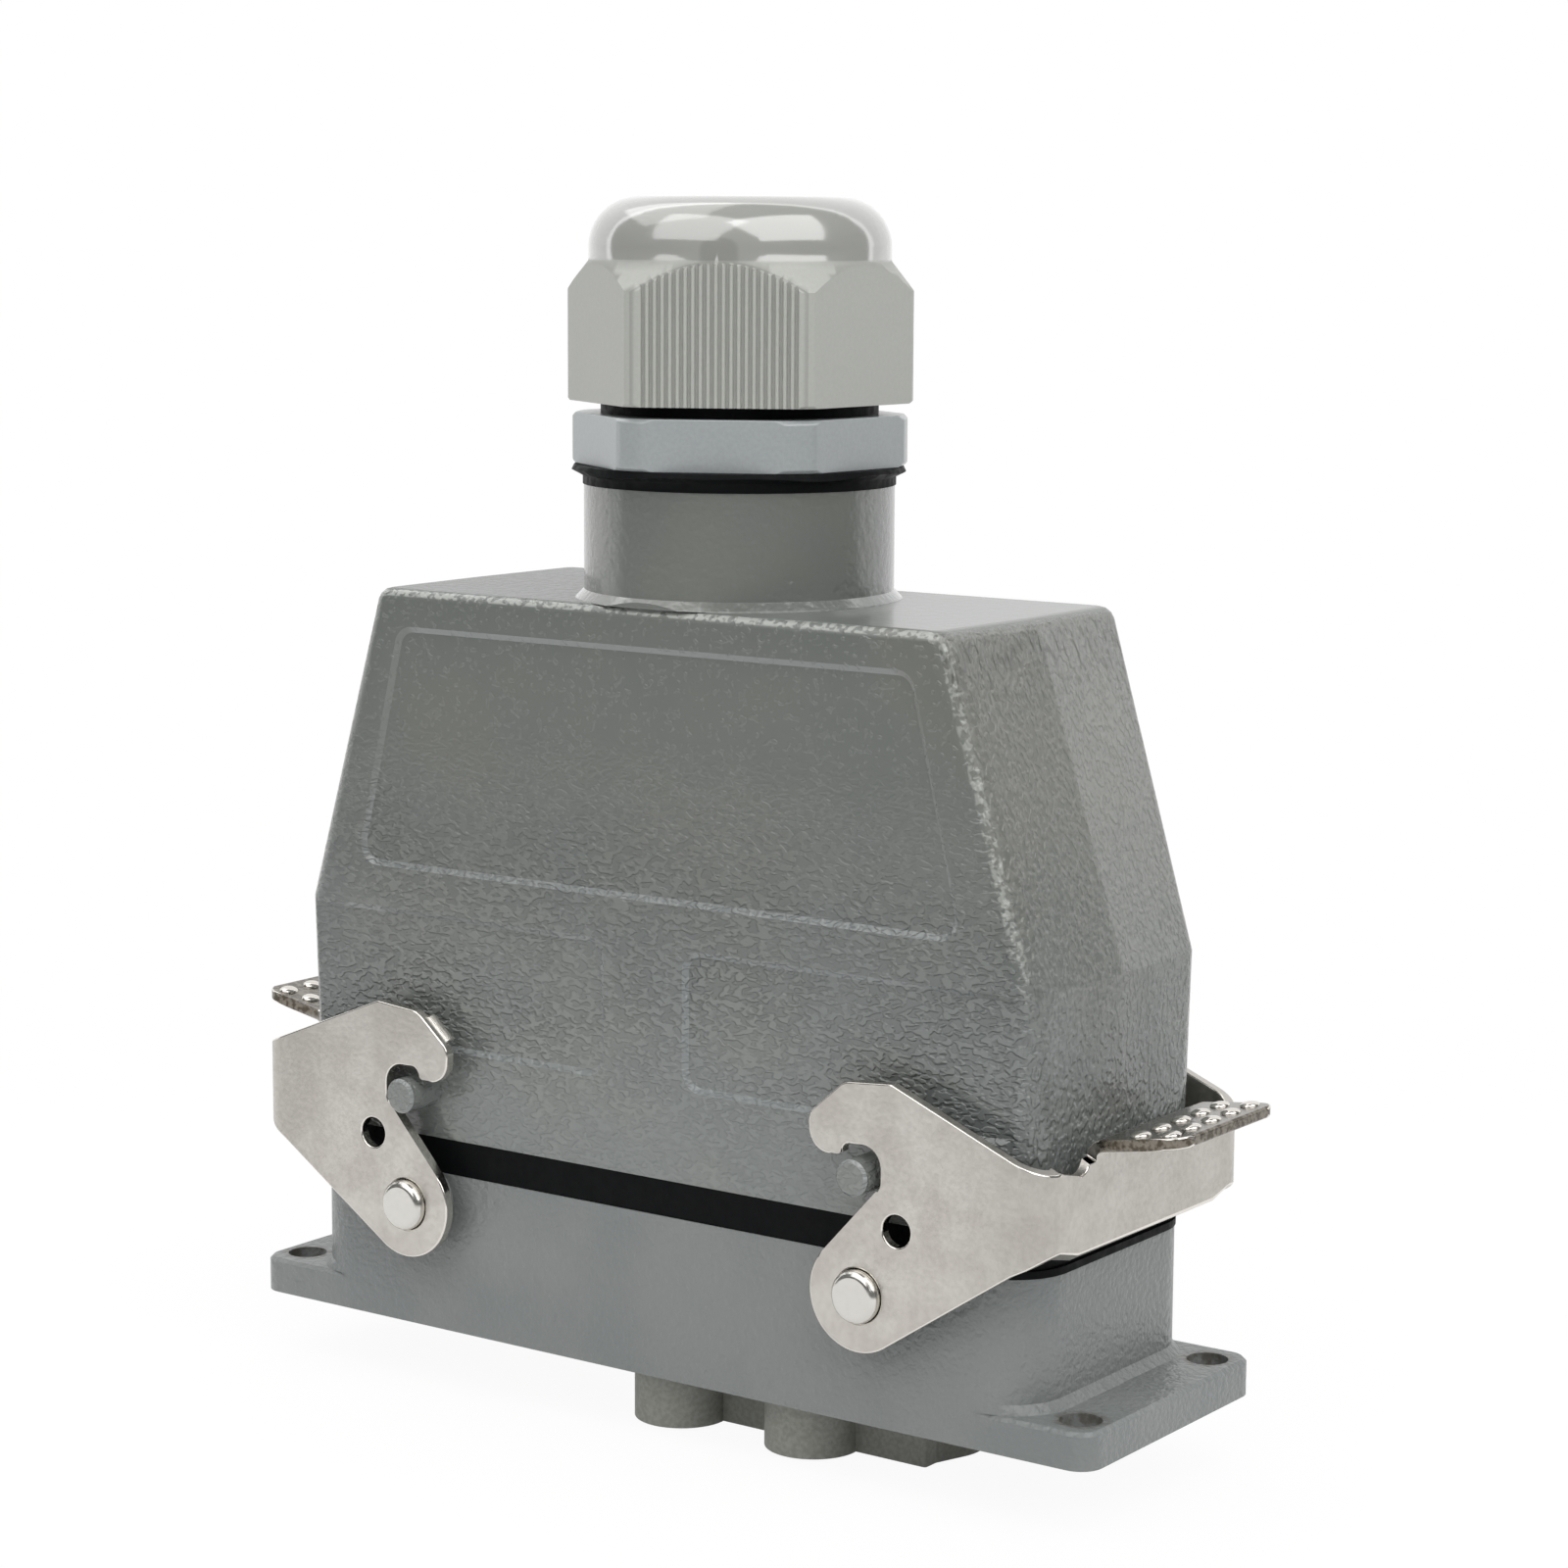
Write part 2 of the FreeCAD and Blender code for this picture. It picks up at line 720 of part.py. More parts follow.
def folded_wall():
    """Plan of the folded sheet, two arms and the web, as an upright wall."""
    start_x = 0
    outer = [(start_x, -arm_outer, 0), (web_outer_x, -arm_outer, lever_bend_radius + lever_sheet),
             (web_outer_x, arm_outer, lever_bend_radius + lever_sheet), (start_x, arm_outer, 0)]
    web_inner_x = web_outer_x - lever_sheet
    inner = [(start_x - 1, -arm_inner, 0), (web_inner_x, -arm_inner, lever_bend_radius),
             (web_inner_x, arm_inner, lever_bend_radius), (start_x - 1, arm_inner, 0)]
    return slab(outer, 0, far / 2).cut(slab(inner, 0, far / 2))


def side_form():
    """Side view of the arm and its lobe, drawn through the full width."""
    plate = Part.Face(outline(arm_corners(), upright(-far / 4)))
    plate = plate.extrude(Vector(0, far / 2, 0))
    lobe = Part.makeCylinder(lever_lobe_radius, far / 2, Vector(pivot_x, -far / 4, pivot_z),
                             Vector(0, 1, 0))
    return plate.fuse(lobe)


def web_dips():
    """Reliefs in the web's top edge on both sides of the handle."""
    high = web_top_z
    low = web_dip_z
    side = arm_inner - lever_bend_radius
    over = high + 2 * lever_sheet
    corners = [(-side, high, web_dip_end_radius), (-web_dip_half, low, web_dip_radius),
               (-handle_root_half, over, 0), (-side, over, 0)]
    face = Part.Face(outline(corners, lambda u, v: Vector(web_outer_x - 2 * lever_sheet, u, v)))
    return both_faces(face.extrude(Vector(4 * lever_sheet, 0, 0)))


def handle_top_z(x):
    """Height of the handle's upper surface."""
    rise = math.tan(math.radians(handle_tilt))
    root_z = web_top_z + handle_rise - handle_length * rise
    return root_z + (x - web_outer_x) * rise


def handle():
    """Thumb tab bent outwards from the web's top edge."""
    tip_x = web_outer_x + handle_length
    thickness = lever_sheet / math.cos(math.radians(handle_tilt))
    inner_x = web_outer_x - lever_sheet
    below_z = web_dip_z - lever_sheet
    section = [
        (inner_x, below_z, 0), (web_outer_x, below_z, 0),
        (web_outer_x, handle_top_z(web_outer_x) - thickness, handle_bend_radius),
        (tip_x, handle_top_z(tip_x) - thickness, handle_rim_radius),
        (tip_x, handle_top_z(tip_x), handle_rim_radius),
        (inner_x, handle_top_z(inner_x), handle_crest_radius),
    ]
    strip = Part.Face(outline(section, upright(-handle_root_half)))
    strip = strip.extrude(Vector(0, 2 * handle_root_half, 0))
    root_x = web_outer_x + handle_rim_radius
    plan = [(inner_x - lever_sheet, handle_root_half, 0),
            (inner_x - lever_sheet, -handle_root_half, 0),
            (root_x, -handle_root_half, handle_corner_radius),
            (tip_x, -handle_tip_half, handle_corner_radius),
            (tip_x, handle_tip_half, handle_corner_radius),
            (root_x, handle_root_half, handle_corner_radius)]
    return strip.common(slab(plan, 0, far / 2))


def hook_tabs():
    """Small tongues bent inwards from the outer edge of each hook."""
    corners = arm_corners()
    upper = Vector(corners[4][0], 0, corners[4][1])
    lower = Vector(corners[5][0], 0, corners[5][1])
    along = (upper - lower).normalize()
    out = Vector(-along.z, 0, along.x)
    middle = (upper + lower) / 2
    reach = hook_tab_bend_radius + lever_sheet

    def place(u, v):
        return middle + out * u + Vector(0, v, 0) - along * (hook_tab_width / 2)

    end_y = -(half_width + hook_tab_gap)
    out_u = hook_tab_bulge
    in_u = out_u - lever_sheet
    section = [(-2 * lever_sheet, -arm_outer, 0), (out_u, -arm_outer, reach),
               (out_u, end_y, hook_tab_end_radius), (in_u, end_y, hook_tab_end_radius),
               (in_u, -arm_inner, hook_tab_bend_radius), (-2 * lever_sheet, -arm_inner, 0)]
    tab = Part.Face(outline(section, place)).extrude(along * hook_tab_width)
    return both_faces(tab)


def right_lever():
    sheet = folded_wall().common(side_form())
    sheet = sheet.cut(web_dips())
    lever = joined([sheet, handle()] + hook_tabs())
    start_y = Vector(0, -far / 4, 0)
    pivot = Part.makeCylinder(pin_radius + pivot_clearance, far / 2,
                              start_y + Vector(pivot_x, 0, pivot_z), Vector(0, 1, 0))
    small_x = pivot_x + lever_small_hole_x
    small_z = pivot_z + lever_small_hole_z
    small = Part.makeCylinder(lever_small_hole_radius, far / 2,
                              start_y + Vector(small_x, 0, small_z), Vector(0, 1, 0))
    return lever.cut([pivot, small])


# Cable gland

def gland_washer():
    inner = body_thread_radius + contact_clearance
    low = washer_radius - washer_step
    lip_z = washer_top_z - washer_lip_height
    return turned([
        (inner, neck_top_z, 0), (low, neck_top_z, 0), (low, lip_z, 0),
        (washer_radius, lip_z + washer_lip_height / 2, 0),
        (washer_radius - washer_lip_height / 4, washer_top_z, 0), (inner, washer_top_z, 0),
    ])


def hexagon(turn):
    """Corners of the gland's hexagon, one flat's normal turned from -Y towards +X."""
    corner = gland_flat_radius / math.cos(math.radians(30))
    points = []
    for index in range(6):
        angle = math.radians(turn - 90 + 30 + 60 * index)
        points.append((corner * math.cos(angle), corner * math.sin(angle)))
    return points


def gland_body():
    bottom = neck_top_z - body_thread_length
    edge = body_corner_chamfer
    head = slab([(x, y, 0) for x, y in hexagon(body_hex_turn)], washer_top_z, body_hex_top_z)
    limit = turned([
        (0, washer_top_z, 0), (body_corner_radius - edge, washer_top_z, 0),
        (body_corner_radius, washer_top_z + edge, 0),
        (body_corner_radius, body_hex_top_z - edge, 0),
        (body_corner_radius - edge, body_hex_top_z, 0), (0, body_hex_top_z, 0),
    ])
    lower = post(0, 0, bottom, washer_top_z, body_thread_radius)
    upper = post(0, 0, body_hex_top_z, body_hex_top_z + upper_thread_length, upper_thread_radius)
    body = joined([head.common(limit), lower, upper])
    bore = post(0, 0, bottom - 1, far, body_bore_radius)
    seat = post(0, 0, claw_z, far, claw_seat_radius)
    return body.cut([bore, seat])


def nut_seal_ring():
    inner = upper_thread_radius + contact_clearance
    return turned([
        (inner, body_hex_top_z, 0), (nut_ring_radius, body_hex_top_z, 0),
        (nut_ring_radius, body_hex_top_z + nut_ring_height, 0),
        (inner, body_hex_top_z + nut_ring_height, 0),
    ])


def fluted_outline():
    """Hexagon with every second flat cut into fine upright flutes."""
    points = hexagon(nut_hex_turn)
    land = math.sqrt(nut_corner_radius ** 2 - gland_flat_radius ** 2) - flute_margin
    pitch = 2 * land / flute_count
    drawn = []
    for index in range(6):
        start = Vector(*points[index - 1], 0)
        end = Vector(*points[index], 0)
        drawn.append((start.x, start.y, 0))
        if index % 2:
            continue
        along = (end - start).normalize()
        inward = Vector(-along.y, along.x, 0) * flute_depth
        middle = (start + end) / 2
        for flute in range(flute_count):
            left = middle + along * (flute * pitch - land)
            for share, depth in ((0, 0), (0.34, 0), (0.5, 1), (0.84, 1)):
                point = left + along * (share * pitch) + inward * depth
                drawn.append((point.x, point.y, 0))
        last = middle + along * land
        drawn.append((last.x, last.y, 0))
    return drawn


def gland_nut():
    flats = slab(fluted_outline(), nut_bottom_z, dome_base_z)
    skirt = turned([
        (0, nut_bottom_z, 0), (nut_corner_radius - nut_bottom_chamfer, nut_bottom_z, 0),
        (nut_corner_radius, nut_bottom_z + nut_bottom_chamfer, 0),
        (nut_corner_radius, dome_base_z - nut_corner_drop, 0),
        (dome_radius, dome_base_z, 0), (0, dome_base_z, 0),
    ])
    dome = turned([
        (0, nut_bottom_z, 0), (dome_radius, nut_bottom_z, 0),
        (dome_radius, nut_top_z, dome_shoulder_radius), (0, nut_top_z, 0),
    ])
    thread_top = nut_bottom_z + nut_thread_length
    throat_z = nut_top_z - nut_top_wall
    inside = turned([
        (0, nut_bottom_z - 1, 0), (nut_bore_radius, nut_bottom_z - 1, 0),
        (nut_bore_radius, thread_top, 0), (nut_hole_radius, throat_z, 0),
        (nut_hole_radius, nut_top_z - nut_rim_chamfer, 0),
        (nut_hole_radius + nut_rim_chamfer, nut_top_z, 0),
        (nut_hole_radius + nut_rim_chamfer, nut_top_z + 1, 0), (0, nut_top_z + 1, 0),
    ])
    return joined([flats.common(skirt), dome]).cut(inside)


def gland_claw():
    """Slotted ring whose fingers the nut presses inwards on the seal."""
    base_top = claw_z + claw_base_height
    shelf_z = claw_z + claw_shelf
    top = claw_z + claw_height
    bore = cable_entry_radius + seal_wall / 2
    ring = turned([
        (bore, claw_z, 0), (claw_outer_radius, claw_z, 0), (claw_outer_radius, base_top, 0),
        (claw_tip_radius, top, 0), (claw_inner_radius, top, 0),
        (claw_inner_radius, shelf_z, 0), (bore, shelf_z, 0),
    ])
    slots = []
    for index in range(claw_count):
        slot = box(cable_entry_radius, far / 4, -claw_slot_width / 2, claw_slot_width / 2,
                   base_top, top + 1)
        slot.rotate(Vector(0, 0, 0), Vector(0, 0, 1), index * 360 / claw_count)
        slots.append(slot)
    return ring.cut(slots)


def gland_seal():
    bottom = claw_z + claw_shelf
    return turned([
        (cable_entry_radius, bottom, 0), (seal_outer_radius, bottom, 0),
        (seal_outer_radius, bottom + seal_height, 0), (cable_entry_radius, bottom + seal_height, 0),
    ])


# Inserts, their contacts and screws

def power_places():
    return [(x, side * power_row_half) for x in power_columns for side in (-1, 1)]


def signal_places():
    return [(x, side * signal_row_half) for x in signal_column_places for side in (-1, 1)]


def insert_ears(z):
    plate = slab(rectangle(ear_half_length, ear_half_width, ear_corner_radius),
                 z, z + ear_thickness)
    holes = [post(x, y, z - 1, z + ear_thickness + 1, fixing_screw_radius + screw_clearance)
             for x, y in four_corners(fixing_spacing_x, fixing_spacing_y)]
    for x in (-earth_screw_x, earth_screw_x):
        holes.append(post(x, 0, z - 1, z + ear_thickness + 1,
                          earth_screw_radius + screw_clearance))
    return plate.cut(holes)


def terminal_screw_holes(z):
    """Side holes for the signal terminal screws, in the two long walls."""
    return [Part.makeCylinder(terminal_screw_radius + screw_clearance, insert_half_width,
                              Vector(x, math.copysign(signal_row_half, y), z),
                              Vector(0, math.copysign(1, y), 0))
            for x, y in signal_places()]


def female_insert():
    block = slab(rectangle(insert_half_length, insert_half_width, insert_corner_radius),
                 insert_floor_z, female_face_z)
    body = joined([block, insert_ears(female_ear_z)])
    cuts = []
    for x, y in power_places():
        cuts.append(post(x, y, insert_floor_z - 1, female_face_z + 1,
                         power_contact_radius + contact_clearance))
    split_z = insert_floor_z + signal_terminal_height
    for x, y in signal_places():
        cuts.append(square_bar(x, y, split_z, female_face_z + 1,
                               signal_contact_half + contact_clearance))
        cuts.append(square_bar(x, y, insert_floor_z - 1, split_z,
                               signal_terminal_half + contact_clearance))
    cuts += terminal_screw_holes(insert_floor_z + signal_terminal_height / 2)
    return body.cut(cuts)


def female_wire_barrels():
    """Underside moulding with a round wire barrel for each power contact."""
    start_x = power_columns[0]
    end_x = barrel_block_end_x
    wide = barrel_block_half_width
    corner = barrel_end_corner_radius
    end_block = [(start_x, -wide, 0), (end_x, -wide, corner),
                 (end_x, -wide + barrel_end_radius, corner),
                 (end_x + barrel_end_radius, 0, 3 * barrel_end_radius),
                 (end_x, wide - barrel_end_radius, corner), (end_x, wide, corner),
                 (start_x, wide, 0)]
    solids = [slab(end_block, -barrel_drop, insert_floor_z)]
    solids += [post(x, y, -barrel_drop, insert_floor_z, barrel_radius) for x, y in power_places()]
    bores = [post(x, y, -barrel_drop - 1, insert_floor_z + 1, barrel_bore_radius)
             for x, y in power_places()]
    return joined(solids).cut(bores)


def female_power_contact(x, y):
    """Socket with a collar that stops against the shoulder in its barrel."""
    tube = post(x, y, insert_floor_z - power_collar_height, female_face_z - insert_gap,
                power_contact_radius)
    collar = post(x, y, insert_floor_z - power_collar_height, insert_floor_z,
                  power_collar_radius)
    tail = post(x, y, insert_floor_z - power_collar_height - power_tail_length,
                insert_floor_z, power_contact_radius + power_tail_step)
    socket = post(x, y, female_face_z - insert_gap - power_socket_depth, female_face_z + 1,
                  power_socket_radius)
    wire = post(x, y, -far, insert_floor_z - power_collar_height + power_wire_bore_depth,
                power_wire_bore_radius)
    return joined([tube, collar, tail]).cut([socket, wire])


def female_signal_contact(x, y):
    """Square socket with a wider screw terminal at its foot."""
    tube = square_bar(x, y, insert_floor_z, female_face_z - insert_gap, signal_contact_half)
    terminal = square_bar(x, y, insert_floor_z, insert_floor_z + signal_terminal_height,
                          signal_terminal_half)
    socket = post(x, y, female_face_z - insert_gap - signal_socket_depth, female_face_z + 1,
                  signal_socket_radius)
    wire = post(x, y, insert_floor_z - 1, insert_floor_z + signal_wire_bore_depth,
                signal_socket_radius)
    return joined([tube, terminal]).cut([socket, wire])


def terminal_screws(z):
    """Set screws that clamp the wires in the signal contacts, from both long sides."""
    screws = []
    for x, y in signal_places():
        side = math.copysign(1, y)
        start = signal_row_half + signal_terminal_half
        length = insert_half_width - terminal_screw_inset - start
        screws.append(Part.makeCylinder(terminal_screw_radius, length,
                                        Vector(x, side * start, z), Vector(0, side, 0)))
    return Part.makeCompound(screws)


def slotted_screw(x, y, seat_z, direction, sizes):
    """Cheese-head screw whose head sits on seat_z and whose shank points along direction."""
    shank_radius, head_radius, head_height, length = sizes
    down = Vector(0, 0, direction)
    seat = Vector(x, y, seat_z)
    shank = Part.makeCylinder(shank_radius, length, seat, down)
    head = Part.makeCylinder(head_radius, head_height, seat, down * -1)
    top = seat_z - direction * head_height
    low, high = sorted((top, top + direction * driver_slot_depth))
    slot = box(x - head_radius - 1, x + head_radius + 1, y - driver_slot_width / 2,
               y + driver_slot_width / 2, low, high)
    return joined([shank, head]).cut(slot)


def insert_screws(seat_z, direction):
    sizes = (fixing_screw_radius, fixing_head_radius, fixing_head_height, fixing_screw_length)
    return Part.makeCompound([slotted_screw(x, y, seat_z, direction, sizes)
                              for x, y in four_corners(fixing_spacing_x, fixing_spacing_y)])


def earth_screws(seat_z, direction):
    sizes = (earth_screw_radius, earth_head_radius, earth_head_height, earth_screw_length)
    return Part.makeCompound([slotted_screw(x, 0, seat_z, direction, sizes)
                              for x in (-earth_screw_x, earth_screw_x)])


def earth_straps(inner_x, foot_z, end_z):
    """Angle straps at both ends, foot on the ear and leg along the block's end."""
    toward = math.copysign(1, end_z - foot_z)
    foot_low, foot_high = sorted((foot_z, foot_z + toward * strap_thickness))
    leg_low, leg_high = sorted((foot_z, end_z))
    foot = box(inner_x, strap_end_x, -strap_width / 2, strap_width / 2, foot_low, foot_high)
    leg = box(inner_x, inner_x + strap_thickness, -strap_width / 2, strap_width / 2,
              leg_low, leg_high)
    hole = post(earth_screw_x, 0, 0, far, earth_screw_radius + screw_clearance)
    strap = joined([foot, leg]).cut(hole)
    return Part.makeCompound([strap, mirror_x(strap)])


def male_insert():
    """Block with a shroud that closes round the female block."""
    inner_length = male_strap_x + strap_thickness + strap_gap
    inner_width = insert_half_width + shroud_clearance
    outer = rectangle(inner_length + shroud_wall, inner_width + shroud_wall,
                      shroud_corner_radius)
    shroud = slab(outer, male_floor_z - shroud_depth, male_block_z)
    hollow = slab(rectangle(inner_length, inner_width, shroud_corner_radius / 2),
                  male_floor_z - shroud_depth - 1, male_floor_z)
    block = slab(rectangle(female_strap_x, insert_half_width, insert_corner_radius),
                 male_floor_z, male_rear_z)
    body = joined([shroud.cut(hollow), block, insert_ears(male_ear_z)])
    cuts = []
    slot_half = strap_width / 2 + strap_gap
    for side in (-1, 1):
        near, end = sorted((side * (male_strap_x - strap_gap), side * inner_length))
        cuts.append(box(near, end, -slot_half, slot_half, male_floor_z - 1, male_ear_z))
    for x, y in power_places():
        cuts.append(post(x, y, male_floor_z - 1, male_rear_z - power_wire_bore_depth,
                         power_contact_radius + contact_clearance))
        cuts.append(post(x, y, male_rear_z - power_wire_bore_depth, male_rear_z + 1,
                         barrel_bore_radius))
    for x, y in signal_places():
        cuts.append(square_bar(x, y, male_floor_z - 1, male_rear_z - signal_terminal_height,
                               signal_contact_half + contact_clearance))
        cuts.append(square_bar(x, y, male_rear_z - signal_terminal_height, male_rear_z + 1,
                               signal_terminal_half + contact_clearance))
    cuts += terminal_screw_holes(male_rear_z - signal_terminal_height / 2)
    return body.cut(cuts)


def male_power_contact(x, y):
    """Pin with a collar that stops against the shoulder at the back of the block."""
    seat = male_rear_z - power_wire_bore_depth
    stem = post(x, y, male_floor_z, seat, power_contact_radius)
    collar = post(x, y, seat, seat + power_collar_height, power_collar_radius)
    pin = post(x, y, male_floor_z - power_pin_reach, male_floor_z, power_pin_radius)
    tip_z = male_floor_z - power_pin_reach
    pin = pin.makeChamfer(power_pin_radius / 2, edges_where(pin, at_height(tip_z)))
    wire = post(x, y, seat + power_collar_height - power_wire_bore_depth,
                seat + power_collar_height + 1, power_wire_bore_radius)
    return joined([pin, stem, collar]).cut(wire)


def male_signal_contact(x, y):
    """Round pin on a square stem with a screw terminal at the back."""
    seat = male_rear_z - signal_terminal_height
    stem = square_bar(x, y, male_floor_z, seat, signal_contact_half)
    terminal = square_bar(x, y, seat, male_rear_z, signal_terminal_half)
    pin = post(x, y, male_floor_z - signal_pin_reach, male_floor_z, signal_pin_radius)
    wire = post(x, y, male_rear_z - signal_wire_bore_depth, male_rear_z + 1,
                signal_socket_radius)
    return joined([pin, stem, terminal]).cut(wire)


def group(maker, places):
    return Part.makeCompound([maker(x, y) for x, y in places])


def all_parts():
    """Every sub-part of the connector by name."""
    lever = right_lever()
    parts = {
        "bulkhead_housing": bulkhead_housing(),
        "housing_gasket": housing_gasket(),
        "hood": hood(),
        "left_lever": mirror_x(lever),
        "right_lever": lever,
        "gland_washer": gland_washer(),
        "gland_body": gland_body(),
        "nut_seal_ring": nut_seal_ring(),
        "gland_nut": gland_nut(),
        "gland_claw": gland_claw(),
        "gland_seal": gland_seal(),
        "female_insert": female_insert(),
        "female_wire_barrels": female_wire_barrels(),
        "female_power_contacts": group(female_power_contact, power_places()),
        "female_signal_contacts": group(female_signal_contact, signal_places()),
        "female_terminal_screws": terminal_screws(insert_floor_z + signal_terminal_height / 2),
        "female_insert_screws": insert_screws(female_ear_top_z, -1),
        "female_earth_straps": earth_straps(female_strap_x, female_ear_top_z,
                                            female_ear_top_z + female_strap_height),
        "female_earth_screws": earth_screws(female_ear_top_z + strap_thickness, -1),
        "male_insert": male_insert(),
        "male_power_contacts": group(male_power_contact, power_places()),
        "male_signal_contacts": group(male_signal_contact, signal_places()),
        "male_terminal_screws": terminal_screws(male_rear_z - signal_terminal_height / 2),
        "male_insert_screws": insert_screws(male_ear_z, 1),
        "male_earth_straps": earth_straps(male_strap_x, male_ear_z,
                                          male_ear_z - male_strap_drop),
        "male_earth_screws": earth_screws(male_ear_z - strap_thickness, 1),
    }
    for side_name, x in (("left", -pivot_x), ("right", pivot_x)):
        for face_name, front in (("front", True), ("back", False)):
            parts["pivot_pin_" + face_name + "_" + side_name] = pivot_pin(x, front)
    return parts


os.makedirs("parts", exist_ok=True)
for name, shape in all_parts().items():
    shape.exportStep(os.path.join("parts", name + ".step"))
    print(name, "solids", len(shape.Solids), "valid", shape.isValid(), round(shape.Volume, 1))
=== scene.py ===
import math

import bmesh
import bpy
from mathutils import Matrix, Vector


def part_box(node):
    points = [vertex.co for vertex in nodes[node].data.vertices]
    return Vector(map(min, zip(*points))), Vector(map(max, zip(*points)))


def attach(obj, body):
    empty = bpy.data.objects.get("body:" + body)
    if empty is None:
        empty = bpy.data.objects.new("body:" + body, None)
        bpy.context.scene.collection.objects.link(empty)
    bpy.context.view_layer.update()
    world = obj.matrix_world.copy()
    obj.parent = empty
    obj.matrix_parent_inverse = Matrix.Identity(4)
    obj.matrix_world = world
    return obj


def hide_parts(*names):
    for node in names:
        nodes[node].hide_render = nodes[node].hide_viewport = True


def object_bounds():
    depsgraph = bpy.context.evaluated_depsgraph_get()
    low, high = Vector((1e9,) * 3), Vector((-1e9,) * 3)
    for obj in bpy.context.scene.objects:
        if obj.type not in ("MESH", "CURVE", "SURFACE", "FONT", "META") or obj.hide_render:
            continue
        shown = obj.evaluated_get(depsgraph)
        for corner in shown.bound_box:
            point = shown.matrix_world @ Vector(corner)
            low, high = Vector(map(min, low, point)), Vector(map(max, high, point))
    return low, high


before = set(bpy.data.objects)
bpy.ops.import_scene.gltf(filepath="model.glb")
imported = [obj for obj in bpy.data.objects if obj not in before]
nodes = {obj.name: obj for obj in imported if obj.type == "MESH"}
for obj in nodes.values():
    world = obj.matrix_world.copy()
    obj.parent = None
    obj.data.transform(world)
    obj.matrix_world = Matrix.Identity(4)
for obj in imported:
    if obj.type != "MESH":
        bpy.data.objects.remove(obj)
cad_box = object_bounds()


# The studio: the camera looks down a little on the connector's front and right end. Two large
# soft boxes stand high, one each side of the camera, and a third still higher at the left.
view_turn = math.radians(35.566)
view_rise = math.radians(8.456)
view_roll = math.radians(0.31)
view_distance = 0.506968
view_target = Vector((0.007567, 0.0, 0.077893))
toward_view = Vector((math.sin(view_turn), -math.cos(view_turn), 0.0))
right_of_view = Vector((math.cos(view_turn), math.sin(view_turn), 0.0))
up = Vector((0.0, 0.0, 1.0))
lamp_distance = 1.1
lamp_target = Vector((0.0, 0.0, 0.08))
lamp_white = (1.0, 0.995, 0.985)

camera = bpy.data.objects.new("camera", bpy.data.cameras.new("camera"))
bpy.context.scene.collection.objects.link(camera)
camera.data.lens = 86.95
camera.data.sensor_width = 36.0
camera.data.clip_start = 0.01
camera.data.clip_end = 20.0
camera.location = view_target + view_distance * (
    math.cos(view_rise) * toward_view + math.sin(view_rise) * up)
aim = (view_target - camera.location).to_track_quat("-Z", "Y").to_matrix()
camera.matrix_world = Matrix.Translation(camera.location) @ (
    aim @ Matrix.Rotation(view_roll, 3, "Z")).to_4x4()
bpy.context.scene.camera = camera
bpy.context.scene.view_settings.view_transform = "Standard"


def soft_box(name, turn, rise, wide, high, radiance):
    """Rectangular lamp aimed at the connector, at a turn and rise in degrees from the camera."""
    turn, rise = math.radians(turn), math.radians(rise)
    out = (math.cos(rise) * (math.cos(turn) * toward_view + math.sin(turn) * right_of_view)
           + math.sin(rise) * up)
    lamp = bpy.data.lights.new(name, "AREA")
    lamp.shape = "RECTANGLE"
    lamp.size = wide
    lamp.size_y = high
    lamp.energy = math.pi * wide * high * radiance
    lamp.color = lamp_white
    holder = bpy.data.objects.new(name, lamp)
    bpy.context.scene.collection.objects.link(holder)
    holder.location = lamp_target + out * lamp_distance
    holder.rotation_euler = (-out).to_track_quat("-Z", "Y").to_euler()


soft_box("soft_box_left", turn=-44, rise=46, wide=1.05, high=1.1, radiance=1.8)
soft_box("soft_box_right", turn=42, rise=46, wide=1.15, high=1.1, radiance=2.5)
soft_box("soft_box_top", turn=-115, rise=60, wide=0.95, high=0.8, radiance=1.1)


# The room: white behind the connector, a brighter band round that, and dark at the sides and in
# front. The camera's own rays, and mirrored ones from well behind, see a plain white backdrop.
room_behind = (1.0, 1.0, 1.0, 1.0)
room_in_front = (0.2, 0.203, 0.207, 1.0)
room_levels = ((0.18, 1.0), (0.2, 2.0), (0.285, 2.0), (0.3, 0.2))
backdrop_edge = -0.5


def combine(tree, operation, first, second):
    """One value from two, each a number or another value, by one step of arithmetic."""
    node = tree.nodes.new("ShaderNodeMath")
    node.operation = operation
    for socket, value in zip(node.inputs, (first, second)):
        if isinstance(value, (int, float)):
            socket.default_value = value
        else:
            tree.links.new(value, socket)
    return node.outputs["Value"]


def product(tree, first, *others):
    """The values multiplied together."""
    for value in others:
        first = combine(tree, "MULTIPLY", first, value)
    return first


def reach_along(tree, vector, direction):
    """How far a vector reaches along a fixed direction."""
    node = tree.nodes.new("ShaderNodeVectorMath")
    node.operation = "DOT_PRODUCT"
    node.inputs[1].default_value = direction
    tree.links.new(vector, node.inputs[0])
    return node.outputs["Value"]


def ray_kinds(tree):
    """Whether a ray is the camera's own, and whether it was mirrored or refracted."""
    path = tree.nodes.new("ShaderNodeLightPath").outputs
    return path["Is Camera Ray"], combine(tree, "MAXIMUM", path["Is Glossy Ray"],
                                          path["Is Transmission Ray"])


